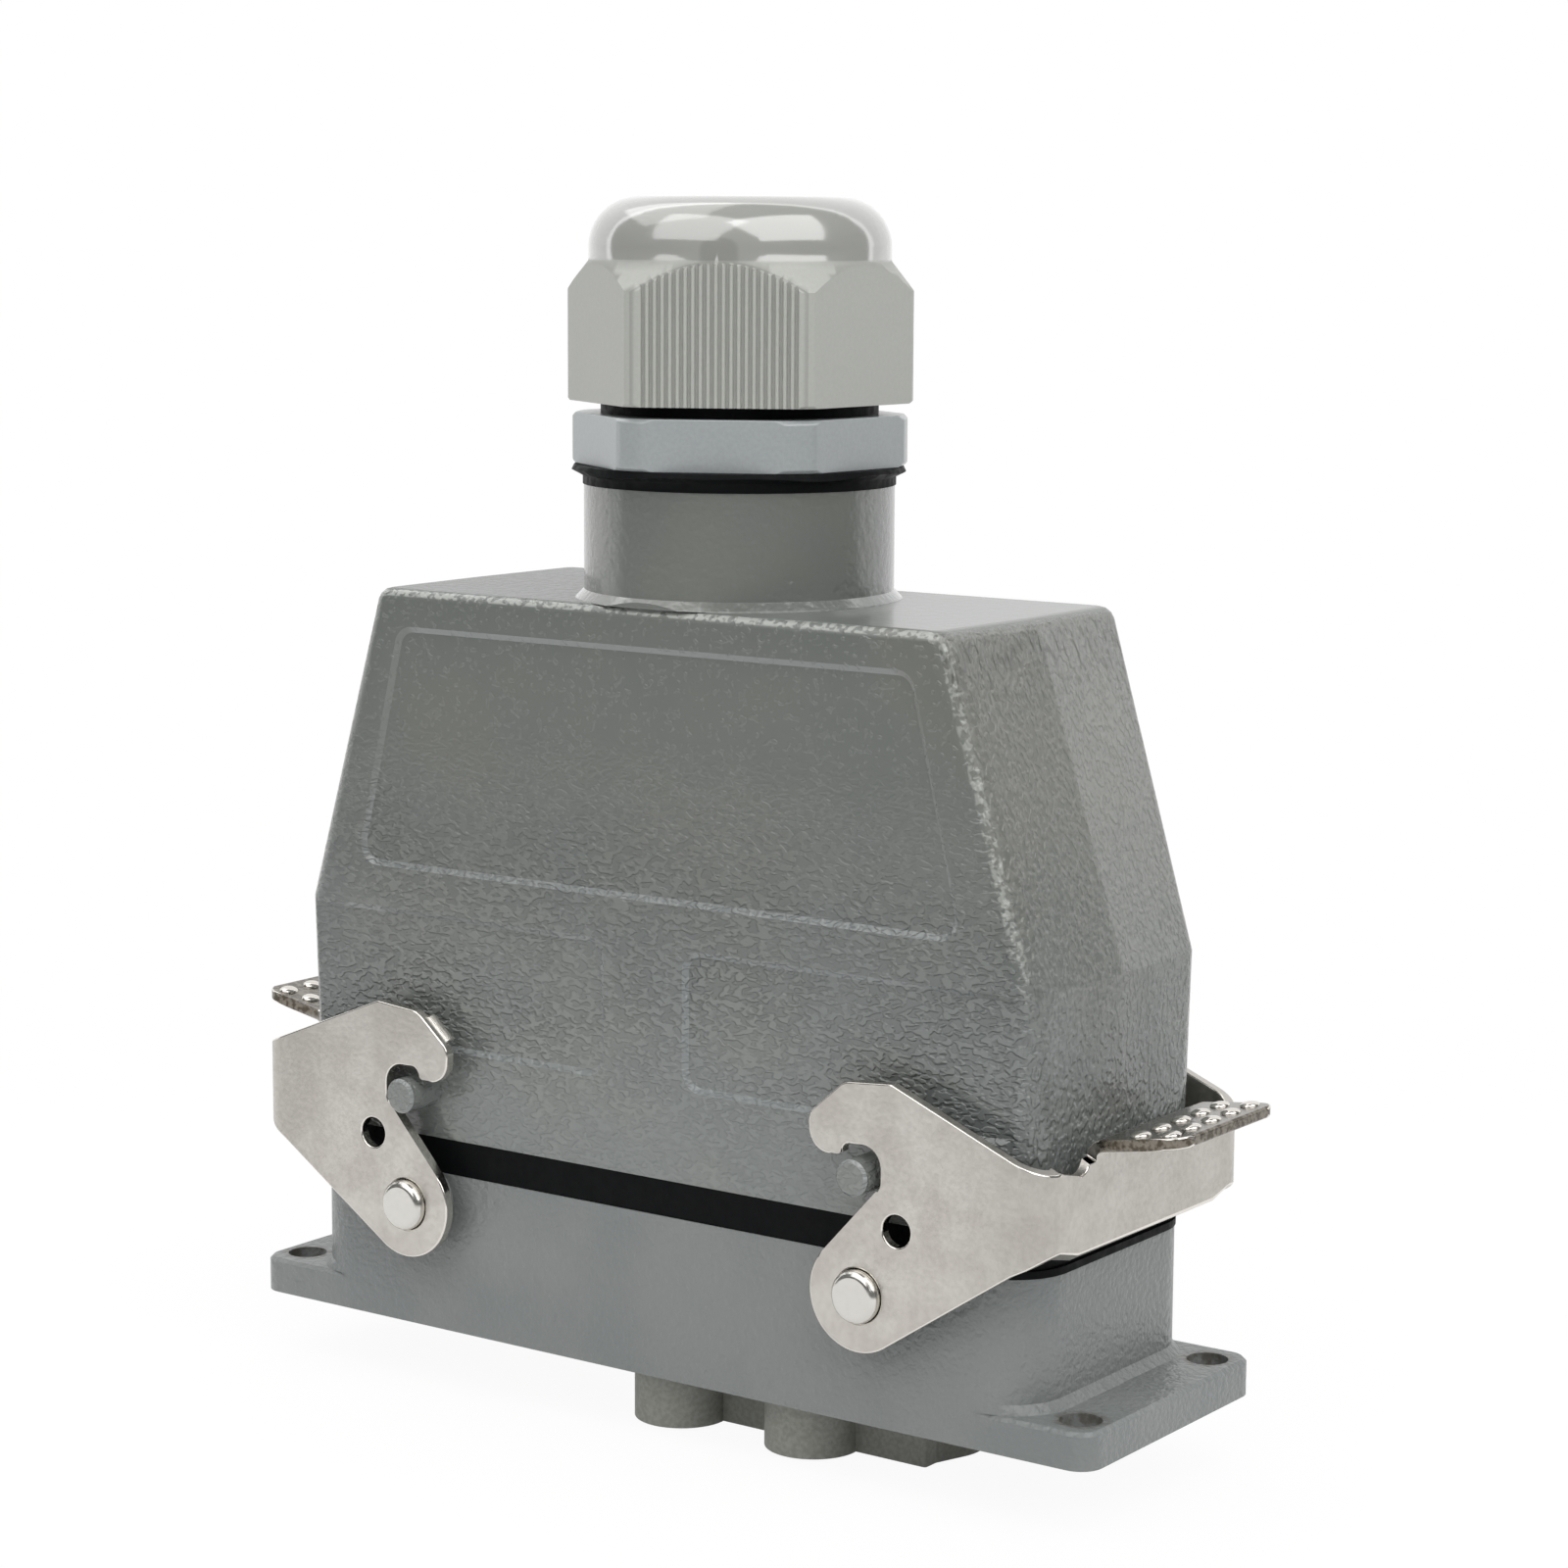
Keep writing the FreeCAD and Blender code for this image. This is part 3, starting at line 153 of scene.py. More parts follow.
world = bpy.data.worlds.new("studio")
world.use_nodes = True
bpy.context.scene.world = world
net = world.node_tree
net.nodes.clear()
toward = reach_along(net, net.nodes.new("ShaderNodeTexCoord").outputs["Generated"], toward_view)
centred = net.nodes.new("ShaderNodeMapRange")
centred.inputs["From Min"].default_value = -1.0
centred.inputs["From Max"].default_value = 1.0
net.links.new(toward, centred.inputs["Value"])
room = net.nodes.new("ShaderNodeValToRGB")
for position, level in room_levels:
    stop = room.color_ramp.elements.new(position)
    stop.color = (level, level, level, 1.0)
room.color_ramp.elements[0].color = room_behind
room.color_ramp.elements[-1].color = room_in_front
net.links.new(centred.outputs["Result"], room.inputs["Fac"])
surround = net.nodes.new("ShaderNodeBackground")
net.links.new(room.outputs["Color"], surround.inputs["Color"])
backdrop = net.nodes.new("ShaderNodeBackground")
backdrop.inputs["Color"].default_value = (1.0, 1.0, 1.0, 1.0)
straight, mirrored = ray_kinds(net)
behind = combine(net, "LESS_THAN", toward, backdrop_edge)
sees_backdrop = combine(net, "MAXIMUM", straight, product(net, mirrored, behind))
pick = net.nodes.new("ShaderNodeMixShader")
net.links.new(sees_backdrop, pick.inputs["Fac"])
net.links.new(surround.outputs["Background"], pick.inputs[1])
net.links.new(backdrop.outputs["Background"], pick.inputs[2])
world_out = net.nodes.new("ShaderNodeOutputWorld")
net.links.new(pick.outputs["Shader"], world_out.inputs["Surface"])


# The floor: pale paper just under the wire barrels, which glows white to the camera except round
# the connector's foot, where its shadow shows. Beyond its lit part the paper is grey.
floor_radius = 6.0
floor_gap = 0.0005
grey_paper = (0.3, 0.3, 0.3)
white_paper = (0.86, 0.86, 0.86)
lit_round = (0.2, 0.55)
lit_behind = (-0.3, -0.1)
shadow_round = (0.11, 0.32)
shadow_glow = 0.94
mirrored_glow = 0.6


def length_of(tree, vector):
    """The length of a vector."""
    node = tree.nodes.new("ShaderNodeVectorMath")
    node.operation = "LENGTH"
    tree.links.new(vector, node.inputs[0])
    return node.outputs["Value"]


def remap(tree, value, low, high, to_low=0.0, to_high=1.0):
    """Smooth change between two numbers while the value goes from low to high."""
    node = tree.nodes.new("ShaderNodeMapRange")
    node.interpolation_type = "SMOOTHSTEP"
    node.inputs["From Min"].default_value = low
    node.inputs["From Max"].default_value = high
    node.inputs["To Min"].default_value = to_low
    node.inputs["To Max"].default_value = to_high
    tree.links.new(value, node.inputs["Value"])
    return node.outputs["Result"]


def blend(tree, share, first, second, kind="RGBA"):
    """Colour or number between two others by a share from 0 to 1."""
    node = tree.nodes.new("ShaderNodeMix")
    node.data_type = kind
    first_socket, made_socket = (6, 2) if kind == "RGBA" else (2, 0)
    tree.links.new(share, node.inputs[0])
    for socket, value in zip(node.inputs[first_socket:first_socket + 2], (first, second)):
        if isinstance(value, tuple):
            socket.default_value = (*value, 1.0)
        elif isinstance(value, float):
            socket.default_value = value
        else:
            tree.links.new(value, socket)
    return node.outputs[made_socket]


floor_mesh = bmesh.new()
bmesh.ops.create_circle(floor_mesh, cap_ends=True, radius=floor_radius, segments=64)
bmesh.ops.translate(floor_mesh, verts=floor_mesh.verts, vec=(0, 0, cad_box[0][2] - floor_gap))
floor_data = bpy.data.meshes.new("floor")
floor_mesh.to_mesh(floor_data)
floor_mesh.free()
floor = bpy.data.objects.new("floor", floor_data)
bpy.context.scene.collection.objects.link(floor)
floor_paper = bpy.data.materials.new("floor_paper")
floor_paper.use_nodes = True
paper = floor_paper.node_tree
spot = paper.nodes.new("ShaderNodeTexCoord").outputs["Object"]
reach = length_of(paper, spot)
lit_paper = combine(paper, "MAXIMUM", remap(paper, reach, *lit_round, 1.0, 0.0),
                    remap(paper, reach_along(paper, spot, toward_view), *lit_behind, 1.0, 0.0))
paper_diffuse = paper.nodes["Principled BSDF"]
paper.links.new(blend(paper, lit_paper, grey_paper, white_paper),
                paper_diffuse.inputs["Base Color"])
paper_diffuse.inputs["Roughness"].default_value = 0.9
paper_diffuse.inputs["Specular IOR Level"].default_value = 0.0
paper_glow = paper.nodes.new("ShaderNodeEmission")
paper_glow.inputs["Color"].default_value = (1.0, 1.0, 1.0, 1.0)
paper_glow.inputs["Strength"].default_value = 1.0
straight, mirrored = ray_kinds(paper)
direct = product(paper, straight, remap(paper, reach, *shadow_round, shadow_glow, 1.0))
mirrored = product(paper, mirrored, product(paper, lit_paper, mirrored_glow))
paper_mix = paper.nodes.new("ShaderNodeMixShader")
paper.links.new(combine(paper, "MAXIMUM", direct, mirrored), paper_mix.inputs["Fac"])
paper.links.new(paper_diffuse.outputs["BSDF"], paper_mix.inputs[1])
paper.links.new(paper_glow.outputs["Emission"], paper_mix.inputs[2])
paper.links.new(paper_mix.outputs["Shader"], paper.nodes["Material Output"].inputs["Surface"])
floor.data.materials.append(floor_paper)


# Bulkhead housing: an aluminium die casting, box wall and flange in one, coated with a fine
# textured grey paint. Four screws through the flange hold it to the panel, and dirt gathers
# round their holes.
housing_edge = 0.0003
housing_crests = 0.00032
housing_greys = ((0.182, 0.197, 0.196), (0.205, 0.217, 0.213))
flange_hole = (0.065, 0.016)
grime_round = (0.0027, 0.0043)
grime_share = 0.75
grime_brown = (0.085, 0.072, 0.055)


def bare_finish(name, colour, roughness, metallic=0.0):
    """New material with its shader and the connector's own coordinates."""
    material = bpy.data.materials.new(name)
    material.use_nodes = True
    tree = material.node_tree
    shader = tree.nodes["Principled BSDF"]
    shader.inputs["Base Color"].default_value = (*colour, 1.0)
    shader.inputs["Roughness"].default_value = roughness
    shader.inputs["Metallic"].default_value = metallic
    place = tree.nodes.new("ShaderNodeTexCoord").outputs["Object"]
    return material, tree, shader, place


def grain(tree, place, size, detail=3.0, stretch=(1.0, 1.0, 1.0), turn=(0.0, 0.0, 0.0),
          twist=0.0):
    """Noise whose lumps are about size metres across, finer along a stretched, turned axis."""
    lay = tree.nodes.new("ShaderNodeMapping")
    lay.inputs["Scale"].default_value = [share / size for share in stretch]
    lay.inputs["Rotation"].default_value = turn
    tree.links.new(place, lay.inputs["Vector"])
    noise = tree.nodes.new("ShaderNodeTexNoise")
    noise.inputs["Scale"].default_value = 1.0
    noise.inputs["Detail"].default_value = detail
    noise.inputs["Roughness"].default_value = 0.5
    noise.inputs["Distortion"].default_value = twist
    tree.links.new(lay.outputs["Vector"], noise.inputs["Vector"])
    return noise.outputs["Fac"]


def axes(tree, vector):
    """The three parts of a vector."""
    node = tree.nodes.new("ShaderNodeSeparateXYZ")
    tree.links.new(vector, node.inputs["Vector"])
    return node.outputs["X"], node.outputs["Y"], node.outputs["Z"]


def size_of(tree, value):
    """The value without its sign."""
    return combine(tree, "ABSOLUTE", value, 0.0)


def uneven_gloss(tree, shader, lumps, smooth, dull, low=0.3, high=0.7):
    """Roughness that wanders between two values with the lumps of a grain."""
    tree.links.new(remap(tree, lumps, low, high, smooth, dull), shader.inputs["Roughness"])


def emboss(tree, shader, height, depth):
    """Relief of the given depth in metres over the whole finish."""
    node = tree.nodes.new("ShaderNodeBump")
    node.inputs["Strength"].default_value = 1.0
    node.inputs["Distance"].default_value = depth
    tree.links.new(height, node.inputs["Height"])
    tree.links.new(node.outputs["Normal"], shader.inputs["Normal"])


def finished_copy(node_name, edge, material, body, crease=28.0, edge_material=None,
                  shaping=None, weld=0.000002):
    """Merged copy of a CAD solid with its sharp edges softened by a small round.

    With an edge material, the round takes that material and leaves out every edge that meets
    one shorter than shortest_edge, where it would fold over itself.
    """
    flat_within = math.radians(0.1)
    shortest_edge = 0.00012
    sharp = math.radians(crease)
    solid = bmesh.new()
    solid.from_mesh(nodes[node_name].data)
    bmesh.ops.remove_doubles(solid, verts=solid.verts, dist=weld)
    if shaping is not None:
        shaping(solid)
    bmesh.ops.dissolve_limit(solid, angle_limit=flat_within, verts=solid.verts,
                             edges=solid.edges, delimit={"NORMAL"})
    if edge_material is not None:
        weights = solid.edges.layers.float.new("bevel_weight_edge")
        tight = {corner for line in solid.edges if line.calc_length() < shortest_edge
                 for corner in line.verts}
        for line in solid.edges:
            if line.calc_face_angle(0.0) > sharp and not tight & set(line.verts):
                line[weights] = 1.0
    mesh = bpy.data.meshes.new(node_name + "_shown")
    solid.to_mesh(mesh)
    solid.free()
    mesh.shade_smooth()
    mesh.set_sharp_from_angle(angle=sharp)
    mesh.materials.append(material)
    piece = bpy.data.objects.new(node_name + "_shown", mesh)
    bpy.context.scene.collection.objects.link(piece)
    if edge:
        rounding = piece.modifiers.new("edge_round", "BEVEL")
        rounding.width = edge
        rounding.segments = 3
        rounding.angle_limit = sharp
        rounding.limit_method = "ANGLE" if edge_material is None else "WEIGHT"
        rounding.use_clamp_overlap = edge_material is None
        if edge_material is not None:
            mesh.materials.append(edge_material)
            rounding.material = 1
    flat_faces = piece.modifiers.new("flat_faces", "WEIGHTED_NORMAL")
    flat_faces.keep_sharp = True
    flat_faces.weight = 60
    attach(piece, body)
    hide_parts(node_name)
    return piece


housing_finish, tree, shader, place = bare_finish("housing_paint", (0.23, 0.24, 0.235), 0.34)
texture = grain(tree, place, 0.0009, detail=2.0)
cloud = grain(tree, place, 0.018, detail=2.0)
along, across, _ = axes(tree, place)
from_hole = tree.nodes.new("ShaderNodeCombineXYZ")
for value, middle, axis in ((along, flange_hole[0], "X"), (across, flange_hole[1], "Y")):
    tree.links.new(combine(tree, "SUBTRACT", size_of(tree, value), middle),
                   from_hole.inputs[axis])
hole_distance = length_of(tree, from_hole.outputs["Vector"])
grime = product(tree, remap(tree, hole_distance, *grime_round, grime_share, 0.0),
                remap(tree, grain(tree, place, 0.0016), 0.4, 0.6, 0.2, 1.0))
shade = blend(tree, remap(tree, cloud, 0.35, 0.65), *housing_greys)
shade = blend(tree, grime, shade, grime_brown)
tree.links.new(shade, shader.inputs["Base Color"])
uneven_gloss(tree, shader, texture, smooth=0.28, dull=0.4)
emboss(tree, shader, texture, housing_crests)
housing = finished_copy("bulkhead_housing", housing_edge, housing_finish, "connector")


# Gasket: a black rubber ring keyed into the housing's rim, squeezed a little by the hood.
# It is moulded in one piece, with a dull skin that shines only along its edges.
gasket_edge = 0.0003
rubber_crests = 0.00006

rubber_finish, tree, shader, place = bare_finish("black_rubber", (0.004, 0.0045, 0.005), 0.5)
shader.inputs["Specular IOR Level"].default_value = 0.07
skin = grain(tree, place, 0.0012, detail=2.0)
uneven_gloss(tree, shader, skin, smooth=0.4, dull=0.6)
emboss(tree, shader, skin, rubber_crests)
gasket = finished_copy("housing_gasket", gasket_edge, rubber_finish, "connector")


# Contact inserts: two moulded blocks of glass-filled plastic, screwed into the housing and the
# hood. The wire barrels of the lower one are a moulding of their own, out below the flange.
insert_edge = 0.0002
insert_crests = 0.00005
insert_greys = ((0.224, 0.228, 0.202), (0.297, 0.3, 0.266))

insert_finish, tree, shader, place = bare_finish("insert_plastic", (0.2, 0.2, 0.17), 0.5)
speck = grain(tree, place, 0.0006)
tree.links.new(blend(tree, remap(tree, speck, 0.3, 0.7), *insert_greys),
               shader.inputs["Base Color"])
emboss(tree, shader, speck, insert_crests)
for name in ("female_insert", "female_wire_barrels", "male_insert"):
    insert = finished_copy(name, insert_edge, insert_finish, "connector")


# Contacts: sockets and pins turned from copper alloy and plated, pressed into the inserts.
# They are hidden while the hood is on, and keep the shapes of their CAD solids.
def dress(names, material):
    """Gives CAD pieces that stay as they are a material of their own."""
    for name in names:
        nodes[name].data.materials.clear()
        nodes[name].data.materials.append(material)


contact_finish, tree, shader, place = bare_finish("contact_plate", (0.78, 0.76, 0.7), 0.28, 1.0)
uneven_gloss(tree, shader, grain(tree, place, 0.002), smooth=0.2, dull=0.4)
dress(["female_power_contacts", "female_signal_contacts", "male_power_contacts",
       "male_signal_contacts"], contact_finish)


# Screws and earth straps: zinc-plated steel screws clamp the wires, fix the inserts and hold
# the straps, which are strips of rolled brass at both ends of each insert.
screw_finish, tree, shader, place = bare_finish("screw_steel", (0.66, 0.66, 0.64), 0.3, 1.0)
uneven_gloss(tree, shader, grain(tree, place, 0.0015), smooth=0.22, dull=0.42)
dress(["female_terminal_screws", "female_insert_screws", "female_earth_screws",
       "male_terminal_screws", "male_insert_screws", "male_earth_screws"], screw_finish)

strap_finish, tree, shader, place = bare_finish("strap_brass", (0.72, 0.6, 0.34), 0.3, 1.0)
rolled = grain(tree, place, 0.001, stretch=(1.0, 8.0, 1.0))
uneven_gloss(tree, shader, rolled, smooth=0.24, dull=0.4)
dress(["female_earth_straps", "male_earth_straps"], strap_finish)


# Hood: one aluminium die casting with a round threaded neck, coated with a grey-green hammer
# paint that dries in small worm-like dimples, smoother on the upper front, streaky on the ends
# and gathered in short runs under the top edge. Pale broken lines along the folds are painted
# highlights.
hood_edge = 0.0002
hood_crease = 31.0
end_crest_half = 0.008
paint_crests = 0.0002

# The two places, in metres, between which the paint changes: first heights above the panel, then
# distances along the hood from its middle.
neck_foot = (0.1026, 0.1028)
top_edge = (0.1, 0.101)
runs_begin = (0.0915, 0.1)
runs_end = (0.1, 0.1018)
worms_end = (0.064, 0.088)
worms_begin = (0.03, 0.05)
lit_foot = (0.03, 0.085)
lit_end_rise = (0.05, 0.075)
# The next four bound the painted highlights along the folds.
top_highlight_band = (0.0995, 0.1003)
waist_highlight_begin = (0.0605, 0.062)
waist_highlight_end = (0.0635, 0.066)
side_highlight_begin = (0.056, 0.064)
end_wall = (0.0435, 0.045)
neck_side = (-0.005, 0.022)
panel_side = (0.0525, 0.0535)

# The hood's upright edges lean in by side_lean for each metre of height, so the distance from the
# middle plus that lean is the same all along them. The panel's line stops short of them.
side_lean = 0.3111
panel_reach = (0.069, 0.071)
# The painted highlight on the upright edges lies beyond this reach.
side_highlight_reach = (0.0735, 0.0745)

# How high each mark stands beside the streaks of the ends, which stand one paint_crests high.
worm_rise = 1.5
worms_at_foot = 0.35
worms_beside_neck = (0.9, 0.12)
dot_rise = 0.4
dots_on_neck = 0.3
run_rise = 3.0
run_tail = 0.3
neck_peel_rise = 0.9

# The paint's gloss. It is dulled on the top, left of the neck, by dulled_share.
wall_roughness = 0.24
top_roughness = 0.36
dulled_roughness = 0.6
dulled_share = 0.4
neck_coat = 1.0
wall_coat = 0.4

# The greys, darker and lighter by turns, and the tones laid over them, each with its share.
# The upper greys are darker than the lower ones: painted shade high on the hood, painted light
# toward its foot.
shaded_upper_greys = ((0.132, 0.143, 0.134), (0.146, 0.153, 0.139))
lit_lower_greys = ((0.166, 0.182, 0.176), (0.182, 0.194, 0.182))
# Painted light: the upper part of the end walls is painted a lighter grey.
lit_end_grey, lit_end_grey_share = (0.2, 0.203, 0.178), 0.45
worm_shadow, worm_shadow_share = (0.095, 0.104, 0.1), 0.6
top_shadow, top_shadow_share = (0.08, 0.088, 0.083), 0.45
# Painted highlight: the raised dots are painted lighter, as glints.
dot_highlight, dot_highlight_share = (0.25, 0.26, 0.245), 0.2
streak_shadow, streak_shadow_share = (0.11, 0.115, 0.105), 0.2
# Painted highlight along the folds, broken into dots.
fold_highlight, fold_highlight_share = (0.4, 0.415, 0.39), 0.8
# Painted highlight on the panels' small steps.
panel_highlight, panel_highlight_share = (0.29, 0.32, 0.335), 0.3
# Shares of the painted fold highlight at the waist and on the upright edges.
waist_highlight_share = 0.5
side_highlight_share = 0.7


def split_ends(solid):
    """Cuts the end walls beside their middle crest, so that it shades as a soft swell."""
    for side in (-end_crest_half, end_crest_half):
        walls = [face for face in solid.faces if abs(face.normal.x) > 0.5]
        edges = list({edge for face in walls for edge in face.edges})
        corners = list({vertex for face in walls for vertex in face.verts})
        bmesh.ops.bisect_plane(solid, geom=corners + edges + walls, plane_co=(0.0, side, 0.0),
                               plane_no=(0.0, 1.0, 0.0))


hood_finish, tree, shader, place = bare_finish("hood_paint", (0.16, 0.17, 0.158), 0.24)
shader.inputs["Specular IOR Level"].default_value = 0.75
shader.inputs["Coat Roughness"].default_value = 0.12
along, _, rise = axes(tree, place)
from_middle = size_of(tree, along)
facing = tree.nodes.new("ShaderNodeTexCoord").outputs["Normal"]
end_facing, front_facing, top_facing = axes(tree, facing)
below_neck = remap(tree, rise, *neck_foot, 1.0, 0.0)
on_end = product(tree, below_neck, remap(tree, from_middle, *end_wall),
                 remap(tree, size_of(tree, end_facing), 0.5, 0.8))
on_top = remap(tree, top_facing, 0.8, 0.9)

worm_grain = grain(tree, place, 0.0008, detail=0.4, stretch=(0.65, 0.65, 1.25), twist=0.5)
worm = remap(tree, worm_grain, 0.4, 0.6)
dot = remap(tree, grain(tree, place, 0.0007, detail=0.0), 0.6, 0.76)
streak_grain = grain(tree, place, 0.0008, detail=0.6, stretch=(1.0, 1.1, 0.8),
                     turn=(math.radians(-24), 0.0, 0.0))
streak = remap(tree, streak_grain, 0.4, 0.64)
runs = remap(tree, grain(tree, place, 0.0013, detail=1.0, stretch=(1.0, 1.0, 0.25)), 0.4, 0.62)
patch = remap(tree, grain(tree, place, 0.012, detail=2.0), 0.3, 0.6, 0.6, 1.0)

low_part = remap(tree, rise, *worms_end, 1.0, 0.0)
worm_share = product(tree, low_part, remap(tree, rise, *worms_begin, worms_at_foot, 1.0), patch)
high_part = combine(tree, "SUBTRACT", remap(tree, rise, *neck_foot, 1.0, dots_on_neck), low_part)
dot_share = product(tree, patch, dot_rise, high_part)
front_height = combine(tree, "ADD", product(tree, worm, worm_share, worm_rise),
                       product(tree, dot, dot_share))
under_edge = product(tree, remap(tree, rise, *runs_begin, 0.0, run_rise),
                     remap(tree, rise, *runs_end, 1.0, run_tail))
end_height = combine(tree, "ADD", streak, product(tree, runs, under_edge))
beside_neck = remap(tree, along, *neck_side, *worms_beside_neck)
neck_peel = product(tree, grain(tree, place, 0.0011, detail=1.5), neck_peel_rise)
hammered = blend(tree, on_end, front_height, end_height, "FLOAT")
hammered = blend(tree, on_top, hammered, product(tree, worm, beside_neck), "FLOAT")
hammered = blend(tree, below_neck, neck_peel, hammered, "FLOAT")
emboss(tree, shader, hammered, paint_crests)

dulled = product(tree, on_top, remap(tree, along, *neck_side, dulled_share, 0.0))
coat = blend(tree, below_neck, neck_coat, wall_coat, "FLOAT")
tree.links.new(blend(tree, dulled, coat, 0.0, "FLOAT"), shader.inputs["Coat Weight"])
roughness = blend(tree, on_top, wall_roughness, top_roughness, "FLOAT")
tree.links.new(blend(tree, dulled, roughness, dulled_roughness, "FLOAT"),
               shader.inputs["Roughness"])

cloud = remap(tree, grain(tree, place, 0.022, detail=2.0), 0.35, 0.65)
# Painted shade and light: darker greys higher up the hood, lighter ones toward its foot.
shade = blend(tree, remap(tree, rise, *lit_foot, 1.0, 0.0), blend(tree, cloud, *shaded_upper_greys),
              blend(tree, cloud, *lit_lower_greys))
# Painted light: a lighter grey laid over the end walls, stronger toward their top.
lit_end_share = product(tree, on_end, remap(tree, rise, *lit_end_rise, 0.0, lit_end_grey_share))
shade = blend(tree, lit_end_share, shade, lit_end_grey)
between_worms = product(tree, combine(tree, "SUBTRACT", 1.0, worm), worm_share)
shade = blend(tree, product(tree, between_worms, worm_shadow_share), shade, worm_shadow)
shade = blend(tree, product(tree, on_top, beside_neck, top_shadow_share), shade, top_shadow)
# Painted highlight: lighter colour on the raised dots.
shade = blend(tree, product(tree, dot, dot_share, dot_highlight_share), shade, dot_highlight)
between_streaks = product(tree, combine(tree, "SUBTRACT", 1.0, streak), on_end)
shade = blend(tree, product(tree, between_streaks, streak_shadow_share), shade, streak_shadow)

# Where the surface turns from one wall to the next, the product of two parts of its normal is
# large. Pale broken lines there are painted highlights, and the small step round each panel
# has a pale painted highlight too.
top_turning = size_of(tree, product(tree, front_facing, top_facing))
side_turning = size_of(tree, product(tree, front_facing, end_facing))
edge_reach = combine(tree, "ADD", from_middle, product(tree, rise, side_lean))
waist_fold = product(tree, remap(tree, rise, *waist_highlight_end, waist_highlight_share, 0.0),
                     remap(tree, rise, *waist_highlight_begin))
top_fold = product(tree, remap(tree, top_turning, 0.3, 0.42),
                   combine(tree, "MAXIMUM", remap(tree, rise, *top_highlight_band), waist_fold))
side_fold = product(tree, remap(tree, side_turning, 0.4, 0.46, 0.0, side_highlight_share),
                    product(tree, remap(tree, edge_reach, *side_highlight_reach),
                            remap(tree, rise, *side_highlight_begin)))
on_fold = product(tree, combine(tree, "MAXIMUM", top_fold, side_fold), below_neck)
# Painted highlight: the folds are painted pale in broken dots.
broken_highlight = remap(tree, grain(tree, place, 0.0008, detail=0.6), 0.42, 0.56, 0.1, 1.0)
shade = blend(tree, product(tree, on_fold, broken_highlight, fold_highlight_share), shade, fold_highlight)
turning = combine(tree, "MAXIMUM", top_turning, side_turning)
in_panel = product(tree, remap(tree, edge_reach, *panel_reach, 1.0, 0.0),
                   remap(tree, from_middle, *panel_side, 1.0, 0.0))
# Painted highlight: the small step round each panel is painted pale.
panel_line = product(tree, remap(tree, turning, 0.28, 0.4, 0.0, panel_highlight_share), in_panel,
                     remap(tree, rise, *top_edge, 1.0, 0.0))
shade = blend(tree, panel_line, shade, panel_highlight)
tree.links.new(shade, shader.inputs["Base Color"])
hood = finished_copy("hood", hood_edge, hood_finish, "connector", hood_crease,
                     shaping=split_ends)


# Pivot pins: turned steel pins with a chamfered end, pressed into the housing's bosses and
# polished on the end by the tumbling that cleans them.
pin_edge = 0.00028

pin_finish, tree, shader, place = bare_finish("pin_steel", (0.64, 0.625, 0.59), 0.16, 1.0)
uneven_gloss(tree, shader, grain(tree, place, 0.0008), smooth=0.12, dull=0.24)
for name in ("pivot_pin_front_left", "pivot_pin_back_left",
             "pivot_pin_front_right", "pivot_pin_back_right"):
    pin = finished_copy(name, pin_edge, pin_finish, "connector")


# Locking levers: each is one sheet of stainless steel, stamped, folded round the end of the
# hood and sprung over the pivot pins, with hooks over the hood's pegs. The tumbled edges are
# glossier than the flats and painted lighter as a highlight, the web is painted darker toward its
# folds as painted shade, and the thumb tab is rubbed dark.
lever_edge = 0.0002
lever_weld = 0.00006
lever_crests = 0.00003
flat_greys = ((0.54, 0.513, 0.474), (0.615, 0.589, 0.552))
# Painted shade: the web is painted darker toward its folds.
web_shade_grey, web_shade_share = (0.42, 0.4, 0.37), 0.4
tab_browns = ((0.09, 0.077, 0.06), (0.235, 0.212, 0.18))
flat_roughness = (0.3, 0.42)
tab_gloss = 0.16

# Distances from the connector's middle, along and across it, and heights above the panel.
web_start = (0.046, 0.063)
tab_out = (0.0645, 0.0655)
tab_up = (0.0382, 0.0395)
web_inner = 0.0575
web_swell = 0.005
web_foot = 0.029
web_cut = 0.0168
sag_side = 0.017
sag_middle_depth = 0.0019
sag_end_depth = 0.0009
arm_inside = 0.0225
arm_reach = 0.056


def hang_web(solid):
    """Lowers the web's bottom edge between the folds, and marks the cut edges of the arms."""
    for side in (-web_cut, web_cut):
        everything = solid.verts[:] + solid.edges[:] + solid.faces[:]
        bmesh.ops.bisect_plane(solid, geom=everything, plane_co=(0.0, side, 0.0),
                               plane_no=(0.0, 1.0, 0.0))
    for vertex in solid.verts:
        if abs(vertex.co.x) > web_inner and vertex.co.z < web_foot:
            reached = min(1.0, (abs(vertex.co.x) - web_inner) / web_swell)
            in_middle = abs(vertex.co.y) < sag_side
            vertex.co.z -= reached * (sag_middle_depth if in_middle else sag_end_depth)
    for face in solid.faces:
        middle = face.calc_center_median()
        on_arm = abs(middle.y) > arm_inside and abs(middle.x) < arm_reach
        if on_arm and abs(face.normal.y) < 0.5:
            face.material_index = 1


lever_finish, tree, shader, place = bare_finish("lever_steel", (0.6, 0.585, 0.56), 0.4, 1.0)
along, _, rise = axes(tree, place)
from_middle = size_of(tree, along)
on_tab = product(tree, remap(tree, from_middle, *tab_out), remap(tree, rise, *tab_up))
wipe = grain(tree, place, 0.006, detail=4.0)
pitted = grain(tree, place, 0.0007)
flats = blend(tree, remap(tree, wipe, 0.35, 0.65), *flat_greys)
